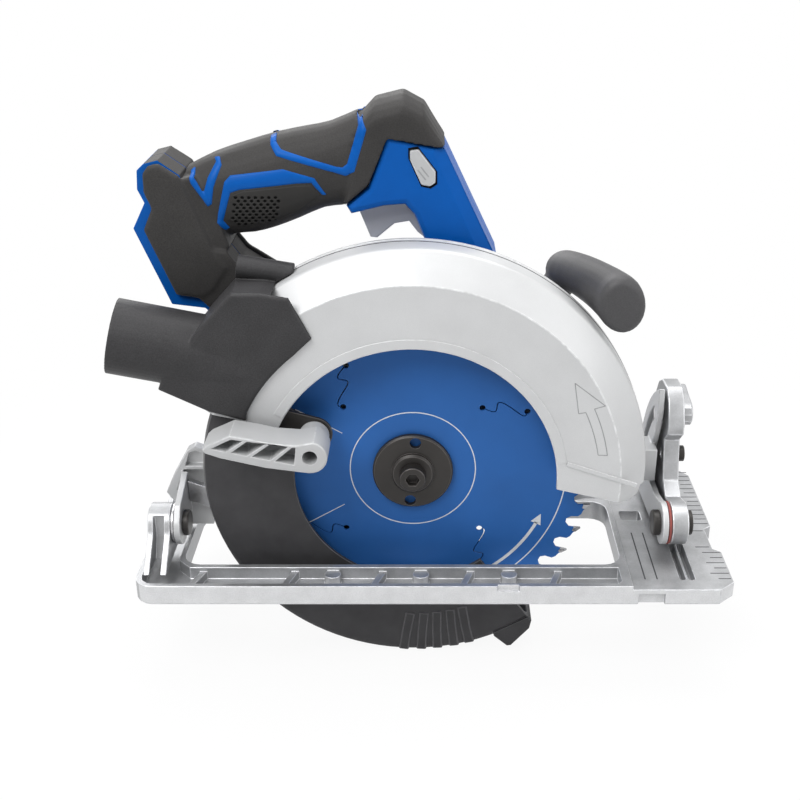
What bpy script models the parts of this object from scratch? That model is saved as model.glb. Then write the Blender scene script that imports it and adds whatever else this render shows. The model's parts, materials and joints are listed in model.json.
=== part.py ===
"""Cordless circular saw with a 184 mm blade on its right side, as a jointed assembly.

Sizes are in millimetres in the saw's own frame: the blade's centre is the origin, X points forward (the cut
direction), Y from the blade towards the motor and Z up. finish() scales to metres, and every object is
parented to one empty that puts the origin of the scene on the underside of the sole.
"""

import math

import bmesh
import bpy
from mathutils import Matrix, Vector

MM = 0.001
HEAD_OFFSET = (-11.0, -72.0, 57.0)

# Clearances
GAP = 0.3
RUNNING = 0.06
BORE_CLEAR = 0.2

# Blade and spindle
BLADE_RADIUS = 92.0
BLADE_TEETH = 40
FIRST_TOOTH = -12.8
PLATE_HALF = 0.6
ARBOR_RADIUS = 7.9
FLANGE_RADIUS = 20.0
FLANGE_THICK = 3.0
FLANGE_BOSS_RADIUS = 10.6
FLANGE_BOSS = 2.5
INNER_FLANGE_RADIUS = 19.5
BOLT_RADIUS = 4.0
BOLT_HEAD_RADIUS = 6.5
BOLT_HEAD = 5.7
PIN_HOLE_RADIUS = 2.85
PIN_HOLE_AT = 16.0
SPINDLE_END = 47.0

# Guards
BLADE_ROOM = 9.0
LOWER_WALL = 2.2
LOWER_RADIUS = BLADE_RADIUS + BLADE_ROOM + LOWER_WALL
LOWER_INNER = LOWER_RADIUS - 45.2
LOWER_NEAR = -10.5
LOWER_FAR = 8.5
GUARD_ROOM = 9.7
UPPER_WALL = 2.6
UPPER_RADIUS = LOWER_RADIUS + GUARD_ROOM + UPPER_WALL
UPPER_INNER = UPPER_RADIUS - 45.1
UPPER_BEVEL = 14.0
UPPER_FLAT = UPPER_RADIUS - UPPER_BEVEL
UPPER_NEAR = -16.0
UPPER_RIM_Y = 10.2
LOWER_START = 147.0
LOWER_SWEEP = 159.0
HUB_RADIUS = 22.0
HUB_NEAR = 5.2
GUARD_BOSS = 0.4
SPRING_WIRE = 0.4
BACK_NEAR = UPPER_RIM_Y + GAP
BACK_FAR = BACK_NEAR + 2.5
LEVER_HOLE = (-46.9, 25.4)
LEVER_ARM_THICK = 2.0
LEVER_SCREW_RADIUS = 1.6
LEVER_HEAD_RADIUS = 3.2

# Gear train and motor
MODULE = 0.9
GEAR_TEETH = 48
PINION_TEETH = 12
MOTOR_ANGLE = 100.0
CENTRE_DISTANCE = MODULE * (GEAR_TEETH + PINION_TEETH) / 2
MOTOR_AXIS = (
    CENTRE_DISTANCE * math.cos(math.radians(MOTOR_ANGLE)),
    CENTRE_DISTANCE * math.sin(math.radians(MOTOR_ANGLE)),
)
MOTOR_RADIUS = 37.0
MOTOR_WALL = 3.0
GEARBOX_RADIUS = 29.0
GEARBOX_WALL = 2.5
GEARBOX_FLOOR = 4.3
GEARBOX_NEAR = BACK_FAR + GAP
GEARBOX_FAR = 44.0
BULKHEAD_FAR = 47.3
HOUSING_FAR = 104.0
CAP_FAR = 116.0
CAP_THICK = 3.5
SHAFT_RADIUS = 4.0
ROTOR_RADIUS = 17.4
AIR_GAP = 0.6
STACK = (63.0, 91.0)
SPINDLE_BEARING_RADIUS = 15.8
REAR_BEARING_RADIUS = 12.3
MOTOR_BEARING_RADIUS = 8.8
CAP_BEARING_RADIUS = 8.0
GEAR_NEAR = 22.0
GEAR_FACE = 9.0
LOCK_NOTCHES = 12
LOCK_DISC_RADIUS = 21.0
LOCK_DISC_NEAR = 33.0
LOCK_DISC_THICK = 5.0
LOCK_PIN_RADIUS = 2.6
LOCK_TRAVEL = 4.2

# Base, bevel and depth pivots
SOLE = -57.0
BASE_TOP = -46.0
BASE_NEAR = -36.0
BASE_FAR = 96.0
DECK = -48.0
BEVEL_AXIS = (0.0, -31.0)
PIVOT_RADIUS = 4.0
PIVOT_EYE = 11.0
PIVOT_HEAD_RADIUS = 6.6
QUADRANT_RADIUS = 68.0
SLOT_RADIUS = 58.0
SLOT_HALF = 3.5
BEVEL_RANGE = 48.0
BEVEL_BOLT_ANGLE = 50.0
CLAMP_RADIUS = 3.0
BRACKET_ROOM = 10.2
FRONT_BRACKET_AT = UPPER_RADIUS + BRACKET_ROOM
FRONT_BRACKET_THICK = 3.0
FRONT_WASHER_THICK = 1.1
FRONT_UPRIGHT_THICK = 8.4
FRONT_NUT_THICK = 2.7
REAR_ROOM = 10.6
PIVOT_HEAD = 3.0
REAR_BRACKET_THICK = 3.2
REAR_WASHER_THICK = 1.2
REAR_UPRIGHT_THICK = 11.4
REAR_STACK = PIVOT_HEAD + REAR_BRACKET_THICK + REAR_WASHER_THICK + REAR_UPRIGHT_THICK + 3 * GAP
REAR_UPRIGHT_AT = -(LOWER_RADIUS + REAR_ROOM + REAR_STACK)
BASE_REAR = REAR_UPRIGHT_AT - 3.5
BASE_FRONT = FRONT_BRACKET_AT + 33.3
WINDOW_REAR = -(LOWER_RADIUS + 12.8)
WINDOW_FRONT = LOWER_RADIUS + 1.8
WINDOW_NEAR = -16.0
WINDOW_FAR = 48.0
STOP_SCREW_AT = (32.5, -8.0)
STOP_SCREW_RADIUS = 2.0
DEPTH_PIN = (100.0, -12.0)
DEPTH_EYE = 9.0
DEPTH_ARM_WIDE = 17.0
DEPTH_BOSS_FAR = 25.5
DEPTH_RADIUS = 181.0
DEPTH_REST = 8.0
DEPTH_DOWN = 9.0
DEPTH_UP = 16.0
DEPTH_ARC_NEAR = 14.6
DEPTH_ARC_THICK = 4.0
DEPTH_ARC_HALF = 9.0
DEPTH_SLOT_HALF = 3.4
PIN_RADIUS = 4.0

# Handle
HANDLE_MID = 36.0
HANDLE_HALF = 18.0
DOCK_HALF = 16.0
DOCK_COVER_THICK = 3.2
CORE_HALF = 8.0
TRIGGER_HALF = 9.5
TRIGGER_ROOM = TRIGGER_HALF + 1.5
TRIGGER_PIVOT = (-2.0, 130.0)
TRIGGER_PIN_RADIUS = 2.0
TRIGGER_PIN_REACH = TRIGGER_ROOM + 3.0
LOCK_BUTTON_PROUD = 1.2
LOCK_BUTTON_CLEAR = 0.25
SLOT_DEPTH = 11.0
SLOT_WALL_HALF = 12.5
BLOCK_HALF = 9.0
BLOCK_SPAN = (12.0, 32.0)
BLOCK_DEPTH = (9.0, 18.0)


def clear_scene():
    for obj in list(bpy.data.objects):
        bpy.data.objects.remove(obj, do_unlink=True)


def paint(name, colour, roughness, metallic=0.0):
    material = bpy.data.materials.new(name)
    material.use_nodes = True
    shader = material.node_tree.nodes["Principled BSDF"]
    shader.inputs["Base Color"].default_value = (*colour, 1.0)
    shader.inputs["Roughness"].default_value = roughness
    shader.inputs["Metallic"].default_value = metallic
    material.diffuse_color = (*colour, 1.0)
    return material


def place(axis, a, b, along):
    """The point with outline coordinates a, b at a distance along the axis."""
    if axis == "X":
        return Vector((along, a, b))
    if axis == "Y":
        return Vector((a, along, b))
    return Vector((a, b, along))


def finish(name, bm, material):
    """Makes the bmesh, in millimetres, an object in metres on the saw's empty."""
    bmesh.ops.remove_doubles(bm, verts=bm.verts, dist=1e-4)
    bmesh.ops.recalc_face_normals(bm, faces=bm.faces)
    bmesh.ops.scale(bm, vec=(MM, MM, MM), verts=bm.verts)
    mesh = bpy.data.meshes.new(name)
    bm.to_mesh(mesh)
    bm.free()
    if material:
        mesh.materials.append(material)
    obj = bpy.data.objects.new(name, mesh)
    bpy.context.scene.collection.objects.link(obj)
    obj.parent = bpy.data.objects["saw_frame"]
    return obj


def boolean(obj, bm, operation):
    """Adds a Boolean modifier with a hidden tool made of the bmesh."""
    tool = finish(f"{obj.name}.tool_{len(obj.modifiers) + 1}", bm, None)
    tool.hide_render = True
    tool.display_type = "WIRE"
    modifier = obj.modifiers.new(operation.lower(), "BOOLEAN")
    modifier.operation = operation
    modifier.solver = "EXACT"
    modifier.object = tool


def cut(obj, *tools):
    for bm in tools:
        boolean(obj, bm, "DIFFERENCE")


def join(obj, *tools):
    for bm in tools:
        boolean(obj, bm, "UNION")


def arc(radius, start, stop, steps, centre=(0.0, 0.0)):
    turns = [math.radians(start + (stop - start) * i / steps) for i in range(steps + 1)]
    return [(centre[0] + radius * math.cos(t), centre[1] + radius * math.sin(t)) for t in turns]


def polar(radius, angle, centre=(0.0, 0.0)):
    return arc(radius, angle, angle, 1, centre)[0]


def rounded_box(low, high, radius, steps=4):
    """A rectangle's outline with round corners."""
    corners = (
        (high[0] - radius, high[1] - radius, 0),
        (low[0] + radius, high[1] - radius, 90),
        (low[0] + radius, low[1] + radius, 180),
        (high[0] - radius, low[1] + radius, 270),
    )
    points = []
    for a, b, start in corners:
        points += arc(radius, start, start + 90, steps, (a, b))
    return points


def belt(first, radius_1, second, radius_2, steps=16):
    """The outline of a belt round two circles."""
    away = Vector(second) - Vector(first)
    heading = math.degrees(math.atan2(away.y, away.x))
    lean = math.degrees(math.acos((radius_1 - radius_2) / away.length))
    points = arc(radius_2, heading - lean, heading + lean, steps, second)
    return points + arc(radius_1, heading + lean, heading - lean + 360, steps, first)


def prism(outline, low, high, axis="Y", round_low=0.0, round_high=0.0, steps=3):
    """An outline pulled along an axis, with its end edges rounded where a radius is given."""
    bm = bmesh.new()
    ends = [[bm.verts.new(place(axis, a, b, at)) for a, b in outline] for at in (low, high)]
    caps = [bm.faces.new(ring) for ring in ends]
    for i in range(len(outline)):
        j = (i + 1) % len(outline)
        bm.faces.new((ends[0][i], ends[0][j], ends[1][j], ends[1][i]))
    bmesh.ops.recalc_face_normals(bm, faces=bm.faces)
    for cap, radius in zip(caps, (round_low, round_high)):
        if radius:
            edges = list(cap.edges)
            bmesh.ops.bevel(
                bm, geom=edges, offset=radius, segments=steps, profile=0.5, affect="EDGES", clamp_overlap=True
            )
    return bm


def turned(profile, steps=48, centre=(0.0, 0.0), axis="Y", start=0.0, sweep=360.0):
    """A closed profile of (radius, along) points turned about an axis, in full or in part."""
    bm = bmesh.new()
    full = sweep >= 360.0
    rings = []
    for i in range(steps if full else steps + 1):
        angle = start + sweep * i / steps
        ring = [bm.verts.new(place(axis, *polar(r, angle, centre), along)) for r, along in profile]
        rings.append(ring)
    for i in range(steps):
        here = rings[i]
        after = rings[(i + 1) % len(rings)]
        for j in range(len(profile)):
            k = (j + 1) % len(profile)
            bm.faces.new((here[j], here[k], after[k], after[j]))
    if not full:
        bm.faces.new(rings[0])
        bm.faces.new(rings[-1])
    return bm


def rod(radius, low, high, centre=(0.0, 0.0), axis="Y", steps=20):
    return prism(arc(radius, 0, 360 - 360 / steps, steps - 1, centre), low, high, axis)


def tube(inner, outer, low, high, centre=(0.0, 0.0), axis="Y", steps=24):
    return turned([(inner, low), (outer, low), (outer, high), (inner, high)], steps, centre, axis)


def slanted_rod(radius, start, stop, steps=32):
    """A rod between two points in space."""
    bm = bmesh.new()
    line = Vector(stop) - Vector(start)
    turn = line.to_track_quat("Z", "Y").to_matrix().to_4x4()
    middle = (Vector(start) + Vector(stop)) / 2
    bmesh.ops.create_cone(
        bm,
        cap_ends=True,
        segments=steps,
        radius1=radius,
        radius2=radius,
        depth=line.length,
        matrix=Matrix.Translation(middle) @ turn,
    )
    return bm


def loft(sections):
    """A closed skin over rings of points that all have the same count."""
    bm = bmesh.new()
    rings = [[bm.verts.new(p) for p in section] for section in sections]
    for here, after in zip(rings, rings[1:]):
        for i in range(len(here)):
            j = (i + 1) % len(here)
            bm.faces.new((here[i], here[j], after[j], after[i]))
    bm.faces.new(rings[0])
    bm.faces.new(rings[-1])
    return bm


def merged(*parts):
    """Several separate closed shapes as one bmesh, for a tool that works in many places."""
    whole = bmesh.new()
    for bm in parts:
        mesh = bpy.data.meshes.new("part_of_tool")
        bm.to_mesh(mesh)
        bm.free()
        whole.from_mesh(mesh)
        bpy.data.meshes.remove(mesh)
    return whole


def smooth_line(points, steps):
    """A Catmull-Rom curve through tuples of numbers of any length."""
    rows = [points[0], *points, points[-1]]
    out = []
    for p0, p1, p2, p3 in zip(rows, rows[1:], rows[2:], rows[3:]):
        for i in range(steps):
            out.append(tuple(curve_value(*values, i / steps) for values in zip(p0, p1, p2, p3)))
    return out + [points[-1]]


def curve_value(a, b, c, d, t):
    """The Catmull-Rom blend of four numbers, from b at t = 0 to c at t = 1."""
    square = 2 * a - 5 * b + 4 * c - d
    cube = 3 * b - a - 3 * c + d
    return 0.5 * (2 * b + (c - a) * t + square * t**2 + cube * t**3)


def involute(angle):
    return math.tan(angle) - angle


def gear_outline(teeth, phase, centre=(0.0, 0.0), backlash=0.3):
    """A spur gear with stub involute teeth, one of them centred on the phase angle."""
    pitch = MODULE * teeth / 2
    base = pitch * math.cos(math.radians(20))
    half_at_pitch = math.pi / (2 * teeth) - backlash / (2 * pitch)
    flank = []
    for radius in (pitch - 1.15 * MODULE, pitch + 0.75 * MODULE):
        pressure = math.acos(min(1.0, base / radius))
        half = half_at_pitch + involute(math.radians(20)) - involute(pressure)
        flank.append((radius, math.degrees(half)))
    points = []
    for k in range(teeth):
        middle = phase + 360 * k / teeth
        points += [polar(r, middle - half, centre) for r, half in flank]
        points += [polar(r, middle + half, centre) for r, half in reversed(flank)]
    return points


def blade_outline():
    """The toothed edge: per tooth the tip, its hooked face, the gullet and the hump before the next tip."""
    pitch = 360 / BLADE_TEETH
    tooth = [(0, 0), (-0.1, 5.8), (0.02, 8.4), (0.2, 9.0), (0.355, 7.2), (0.433, 3.8)]
    tooth += [(0.555, 2.7), (0.733, 2.4)]
    points = []
    for k in range(BLADE_TEETH):
        tip = FIRST_TOOTH + k * pitch
        points += [polar(BLADE_RADIUS - depth, tip + share * pitch) for share, depth in tooth]
    return points


def build_blade(mat):
    blade = finish("blade", prism(blade_outline(), -PLATE_HALF, PLATE_HALF), mat["blade_blue"])
    cut(blade, rod(ARBOR_RADIUS + RUNNING, -2 * PLATE_HALF, 2 * PLATE_HALF, steps=48))
    seat = -PLATE_HALF - GAP
    rim = seat - FLANGE_THICK
    boss = rim - FLANGE_BOSS
    bore = BOLT_RADIUS + BORE_CLEAR
    flange = turned(
        [
            (bore, seat),
            (FLANGE_RADIUS, seat),
            (FLANGE_RADIUS, rim + 0.7),
            (FLANGE_RADIUS - 0.8, rim),
            (FLANGE_BOSS_RADIUS, rim),
            (FLANGE_BOSS_RADIUS, boss + 0.8),
            (FLANGE_BOSS_RADIUS - 1.0, boss),
            (bore, boss),
        ],
        steps=44,
    )
    flange = finish("outer_flange", flange, mat["black_oxide"])
    pin_holes = [rod(PIN_HOLE_RADIUS, boss - 2, 2, polar(PIN_HOLE_AT, turn)) for turn in (85, 265)]
    cut(flange, *pin_holes)
    neck = ARBOR_RADIUS + BORE_CLEAR
    far = PLATE_HALF + GAP
    inner = [(neck, far), (INNER_FLANGE_RADIUS, far), (INNER_FLANGE_RADIUS, far + 2.5)]
    inner += [(neck + 2.4, far + 2.5), (neck + 2.4, 7.8), (neck, 7.8)]
    finish("inner_flange", turned(inner, 28), mat["steel"])
    under_head = boss - GAP
    face = under_head - BOLT_HEAD
    head = prism(arc(BOLT_HEAD_RADIUS, 0, 345, 23), face, under_head, round_low=0.8, steps=2)
    bolt = finish("blade_bolt", head, mat["black_oxide"])
    join(bolt, rod(BOLT_RADIUS, under_head - 1, 22))
    cut(bolt, prism(arc(BOLT_HEAD_RADIUS - 3, 0, 300, 5), face - 4, face + 3.8))
    spindle = [
        (BOLT_RADIUS + BORE_CLEAR, 0.1 - PLATE_HALF),
        (ARBOR_RADIUS, 0.1 - PLATE_HALF),
        (ARBOR_RADIUS, SPINDLE_END),
        (0, SPINDLE_END),
        (0, 24.0),
        (BOLT_RADIUS + BORE_CLEAR, 24.0),
    ]
    finish("spindle", turned(spindle, 28), mat["steel"])


def lock_pin_y():
    return LOCK_DISC_NEAR + LOCK_DISC_THICK / 2


def build_gears(mat):
    gear_far = GEAR_NEAR + GEAR_FACE
    gear = prism(gear_outline(GEAR_TEETH, MOTOR_ANGLE), GEAR_NEAR, gear_far)
    gear = finish("output_gear", gear, mat["steel"])
    cut(gear, rod(ARBOR_RADIUS + RUNNING, GEAR_NEAR - 2, gear_far + 2, steps=28))
    notch_floor = LOCK_DISC_RADIUS - 4.5
    half_notch = math.degrees(math.asin((LOCK_PIN_RADIUS + 0.7) / (notch_floor + 2.5)))
    disc = []
    for k in range(LOCK_NOTCHES):
        middle = 360 * k / LOCK_NOTCHES
        disc += arc(notch_floor, middle - half_notch, middle + half_notch, 2)
        disc += arc(LOCK_DISC_RADIUS, middle + half_notch, middle + 360 / LOCK_NOTCHES - half_notch, 2)
    disc = prism(disc, LOCK_DISC_NEAR, LOCK_DISC_NEAR + LOCK_DISC_THICK)
    disc = finish("lock_disc", disc, mat["steel"])
    cut(disc, rod(ARBOR_RADIUS + RUNNING, LOCK_DISC_NEAR - 3, LOCK_DISC_NEAR + LOCK_DISC_THICK + 2, steps=28))
    pinion_phase = MOTOR_ANGLE + 180 + 180 / PINION_TEETH
    pinion = prism(gear_outline(PINION_TEETH, pinion_phase, MOTOR_AXIS), GEAR_NEAR - 1.5, gear_far + 1.5)
    shaft = finish("motor_shaft", pinion, mat["steel"])
    join(shaft, rod(SHAFT_RADIUS, gear_far - 1, CAP_FAR - CAP_THICK - 1.5, MOTOR_AXIS, steps=16))
    at = (lock_pin_y(), 0)
    rest = LOCK_DISC_RADIUS + 1.5
    button = GEARBOX_RADIUS + LOCK_TRAVEL + 1.3
    lock = rod(LOCK_PIN_RADIUS, rest, button + 1.5, at, "X")
    lock = finish("spindle_lock_button", lock, mat["dark_plastic"])
    join(lock, prism(arc(6.0, 0, 345, 23, at), button, button + 6, "X", round_high=1.2, steps=2))


def build_bearings(mat):
    steel = mat["steel"]
    arbor = ARBOR_RADIUS + RUNNING
    shaft = SHAFT_RADIUS + RUNNING
    cap_floor = CAP_FAR - CAP_THICK - 1.0
    finish("spindle_bearing", tube(arbor, SPINDLE_BEARING_RADIUS, 9, GEARBOX_NEAR + 3.7, steps=28), steel)
    rear = tube(arbor, REAR_BEARING_RADIUS, SPINDLE_END - 5.5, SPINDLE_END, steps=28)
    finish("spindle_rear_bearing", rear, steel)
    bulkhead = tube(shaft, MOTOR_BEARING_RADIUS, GEARBOX_FAR - 1, BULKHEAD_FAR - 0.1, MOTOR_AXIS)
    finish("motor_bearing", bulkhead, steel)
    cap = tube(shaft, CAP_BEARING_RADIUS, cap_floor - 6, cap_floor - 1, MOTOR_AXIS)
    finish("motor_rear_bearing", cap, steel)
    ring = tube(HUB_RADIUS - 2.1, HUB_RADIUS + 2, HUB_NEAR - GAP - 0.9, HUB_NEAR - GAP, steps=28)
    finish("guard_retaining_ring", ring, steel)


def build_gear_housing(mat):
    outline = belt((0, 0), GEARBOX_RADIUS, MOTOR_AXIS, MOTOR_RADIUS)
    inner = belt((0, 0), GEARBOX_RADIUS - GEARBOX_WALL, MOTOR_AXIS, MOTOR_RADIUS - GEARBOX_WALL)
    housing = finish("gear_housing", prism(outline, GEARBOX_NEAR, GEARBOX_FAR), mat["silver_paint"])
    join(housing, rod(HUB_RADIUS, HUB_NEAR, GEARBOX_NEAR + GEARBOX_FLOOR / 2, steps=36))
    floor = GEARBOX_NEAR + GEARBOX_FLOOR
    cut(
        housing,
        prism(inner, floor, GEARBOX_FAR + 3),
        rod(SPINDLE_BEARING_RADIUS + BORE_CLEAR, HUB_NEAR - 2, floor + 2, steps=28),
        rod(LOCK_PIN_RADIUS + RUNNING, GEARBOX_RADIUS - 9, GEARBOX_RADIUS + 11, (lock_pin_y(), 0), "X"),
    )
    near = GEARBOX_FAR + GAP
    plate = finish("motor_bulkhead", prism(outline, near, BULKHEAD_FAR), mat["aluminium"])
    cut(
        plate,
        rod(REAR_BEARING_RADIUS + GAP, near - 4, BULKHEAD_FAR + 3, steps=28),
        rod(MOTOR_BEARING_RADIUS + GAP, near - 4, BULKHEAD_FAR + 3, MOTOR_AXIS, steps=20),
    )


def build_motor(mat):
    bore = MOTOR_RADIUS - MOTOR_WALL
    near = BULKHEAD_FAR + GAP
    case = [(bore, near), (MOTOR_RADIUS, near), (MOTOR_RADIUS, HOUSING_FAR), (bore, HOUSING_FAR)]
    housing = finish("motor_housing", turned(case, 44, MOTOR_AXIS), mat["blue_plastic"])
    vents = []
    for x in (-24, -16, -8, 0, 8):
        slot = rounded_box((x, HOUSING_FAR - 10), (x + 3.5, HOUSING_FAR - 3), 1.5, 1)
        vents.append(prism(slot, -50, 120, "Z"))
    cut(housing, merged(*vents))
    build_end_cap(bore, mat)
    stack_near, stack_far = STACK
    stator_bore = ROTOR_RADIUS + AIR_GAP
    finish("stator", tube(stator_bore, bore - 0.4, stack_near, stack_far, MOTOR_AXIS, steps=28), mat["steel"])
    turns = stack_far + 0.4
    winding = [(stator_bore + 1.5, turns), (bore - 3, turns), (bore - 3, turns + 3.6)]
    winding += [(bore - 6, turns + 6.6), (stator_bore + 4, turns + 6.6), (stator_bore + 1.5, turns + 3.6)]
    finish("stator_winding", turned(winding, 24, MOTOR_AXIS), mat["copper"])
    hole = SHAFT_RADIUS + BORE_CLEAR
    finish("rotor_core", tube(hole, ROTOR_RADIUS, stack_near, stack_far, MOTOR_AXIS, steps=28), mat["steel"])
    fan_near = near + 2.4
    fan = [(hole, fan_near), (bore - 4, fan_near), (bore - 4, fan_near + 1.6), (hole + 4.8, fan_near + 1.6)]
    fan += [(hole + 4.8, fan_near + 8), (hole, fan_near + 8)]
    fan = finish("cooling_fan", turned(fan, 28, MOTOR_AXIS), mat["dark_plastic"])
    vanes = []
    for k in range(9):
        root = polar(hole + 6.8, 40 * k, MOTOR_AXIS)
        end = polar(bore - 5.5, 40 * k + 18, MOTOR_AXIS)
        vanes.append(prism(belt(root, 0.8, end, 0.8, 1), fan_near + 1, fan_near + 7.5))
    join(fan, merged(*vanes))


def build_end_cap(bore, mat):
    """The cap over the motor's end, with a cup for the rear bearing and a ring of air slots."""
    near = HOUSING_FAR + GAP
    floor = CAP_FAR - CAP_THICK
    cup = CAP_BEARING_RADIUS + BORE_CLEAR
    cap = [
        (cup, near),
        (cup + 2.8, near),
        (cup + 2.8, floor),
        (bore, floor),
        (bore, near),
        (MOTOR_RADIUS, near),
        (MOTOR_RADIUS, CAP_FAR - 3),
        (MOTOR_RADIUS - 3, CAP_FAR),
        (0, CAP_FAR),
        (0, floor - 1),
        (cup, floor - 1),
    ]
    cap = finish("motor_end_cap", turned(cap, 32, MOTOR_AXIS), mat["dark_plastic"])
    slots = []
    for k in range(9):
        low = polar(cup + 7.8, 40 * k, MOTOR_AXIS)
        high = polar(bore - 4, 40 * k, MOTOR_AXIS)
        slots.append(prism(belt(low, 1.8, high, 1.8, 2), floor - 0.7, CAP_FAR + 4))
    cut(cap, merged(*slots))


def build_upper_guard(mat):
    profile = [
        (UPPER_INNER, UPPER_NEAR),
        (UPPER_FLAT, UPPER_NEAR),
        (UPPER_RADIUS - 1.2, UPPER_NEAR + 0.78 * UPPER_BEVEL),
        (UPPER_RADIUS, UPPER_NEAR + 0.95 * UPPER_BEVEL),
        (UPPER_RADIUS, UPPER_RIM_Y),
        (UPPER_RADIUS - UPPER_WALL, UPPER_RIM_Y),
        (UPPER_RADIUS - UPPER_WALL, UPPER_NEAR + 0.95 * UPPER_BEVEL),
        (UPPER_FLAT - 1.1, UPPER_NEAR + UPPER_WALL),
        (UPPER_INNER, UPPER_NEAR + UPPER_WALL),
    ]
    guard = finish("upper_guard", turned(profile, 64, start=-8, sweep=172), mat["silver_paint"])
    inside = UPPER_INNER - 10.4
    outside = UPPER_RADIUS + 10
    foot = [(inside, -0.7), (UPPER_INNER + 0.7, -3.4), (UPPER_RADIUS - 8, -12.2), (UPPER_RADIUS - 4, -10.6)]
    foot += [(UPPER_RADIUS - 2.1, -6), (outside, -6), (outside, -30), (inside, -30)]
    inside = -UPPER_INNER + 5.8
    outside = -UPPER_RADIUS - 9.5
    tail = [(inside, 30.4), (outside, 43.8), (outside, 0), (inside, 0)]
    for end in (foot, tail):
        cut(guard, prism(end, UPPER_NEAR - 14, UPPER_RIM_Y + 10))
    rear = [(-96, 37), (-91, 26), (-91, 6), (-84, 0), (-66, -8), (-30, -31), (0, -34), (24, -32), (60, -28)]
    front = [(90, -23), (101, -23.5), (108, -20), (112, -11)]
    plate = prism(arc(UPPER_RADIUS, -2, 153, 56) + rear + front, BACK_NEAR, BACK_FAR)
    plate = finish("guard_backplate", plate, mat["silver_paint"])
    join(plate, rod(DEPTH_EYE, BACK_FAR - 1, DEPTH_BOSS_FAR, DEPTH_PIN, steps=32))
    cut(
        plate,
        rod(HUB_RADIUS + GAP, BACK_NEAR - 2, BACK_FAR + 3, steps=36),
        rod(PIN_RADIUS + RUNNING, BACK_NEAR - 2, DEPTH_BOSS_FAR + 3, DEPTH_PIN),
        rod(CLAMP_RADIUS + GAP, BACK_NEAR - 2, BACK_FAR + 3, depth_bolt_centre()),
    )


def build_lower_guard(mat):
    floor = LOWER_NEAR + LOWER_WALL - 0.1
    profile = [
        (LOWER_INNER, LOWER_NEAR),
        (LOWER_RADIUS - 4, LOWER_NEAR),
        (LOWER_RADIUS - 1, LOWER_NEAR + 1.2),
        (LOWER_RADIUS, LOWER_NEAR + 3.6),
        (LOWER_RADIUS, LOWER_FAR),
        (HUB_RADIUS + 4, LOWER_FAR),
        (HUB_RADIUS + 4, LOWER_FAR - LOWER_WALL),
        (LOWER_RADIUS - LOWER_WALL, LOWER_FAR - LOWER_WALL),
        (LOWER_RADIUS - LOWER_WALL, LOWER_NEAR + 4.2),
        (LOWER_RADIUS - 4.6, floor),
        (LOWER_INNER, floor),
    ]
    sector = turned(profile, 48, start=LOWER_START, sweep=LOWER_SWEEP)
    guard = finish("lower_guard", sector, mat["guard_grey"])
    far = LOWER_FAR + GUARD_BOSS
    join(guard, tube(HUB_RADIUS + RUNNING, HUB_RADIUS + 8, HUB_NEAR + 0.1, far, steps=64))
    shape = [(-2.7, -65.6), (-0.8, -65.8), (7.8, -63.8), (8.5, -62.8), (4.0, -55.7), (0.4, -53.6)]
    shape += [(-2.3, -54.2)]
    bumper = [polar(LOWER_RADIUS + proud, turn) for proud, turn in shape]
    join(guard, prism(bumper, LOWER_NEAR - 0.5, far))
    arm_far = LOWER_NEAR - GAP
    arm = prism(belt(LEVER_HOLE, 8.6, (-74, 32.5), 9), arm_far - LEVER_ARM_THICK, arm_far)
    finish("lever_arm", arm, mat["black_oxide"])
    finish("guard_spring", loft(spring_rings((far + BACK_NEAR) / 2)), mat["steel"])


def spring_rings(y):
    """Square sections along the flat coil that turns the lower guard back, two turns about its hub."""
    first = HUB_RADIUS + 12
    rings = []
    for i in range(41):
        turn = math.radians(90 + 720 * i / 40)
        radius = first + 9 * i / 40
        outward = Vector((math.cos(turn), 0, math.sin(turn)))
        corners = ((1, 1), (-1, 1), (-1, -1), (1, -1))
        across = Vector((0, 1, 0))
        middle = outward * radius + across * y
        rings.append([middle + (outward * a + across * b) * SPRING_WIRE for a, b in corners])
    return rings


def build_guard_lever(mat):
    near = -38.0
    far = -19.6
    seat = LOWER_NEAR - GAP - LEVER_ARM_THICK - GAP
    floor = far - 2.4
    face = [(-95.2, 27.6), (-96.4, 29.6), (-93.8, 32), (-83.2, 36.9), (-73, 35), (-64, 32.8), (-53, 32)]
    face += arc(8.2, 76, -96, 10, LEVER_HOLE)
    face += [(-67.4, 20.0), (-88.7, 25.2)]
    lever = prism(face, near, far, round_low=1.0, round_high=1.0, steps=2)
    lever = finish("guard_lever", lever, mat["light_plastic"])
    join(lever, rod(7.2, far - 1.4, seat, LEVER_HOLE, steps=32))
    recess = [Vector(p) for p in ((-92.0, 30.2), (-82.7, 34.9), (-53.2, 30.6), (-54.2, 21.9))]
    feet = ((0.0, 0.18), (0.24, 0.43), (0.49, 0.71), (0.77, 1.0))
    tops = ((0.0, 0.18), (0.25, 0.53), (0.60, 0.88), (0.95, 1.0))
    pockets = []
    for foot, top in zip(feet, tops):
        low = [recess[0].lerp(recess[3], t) for t in foot]
        high = [recess[1].lerp(recess[2], t) for t in top]
        pockets.append(prism([low[0], low[1], high[1], high[0]], near - 7, near + 10))
    cut(
        lever,
        merged(*pockets),
        rod(LEVER_HEAD_RADIUS + GAP, near - 7, floor, LEVER_HOLE),
        rod(LEVER_SCREW_RADIUS + GAP, floor - 1, seat + 3, LEVER_HOLE),
    )
    head = rod(LEVER_HEAD_RADIUS, floor - GAP - 3.2, floor - GAP, LEVER_HOLE)
    screw = finish("lever_screw", head, mat["black_oxide"])
    join(screw, rod(LEVER_SCREW_RADIUS, floor - 2, seat - 0.1, LEVER_HOLE, steps=16))


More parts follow.
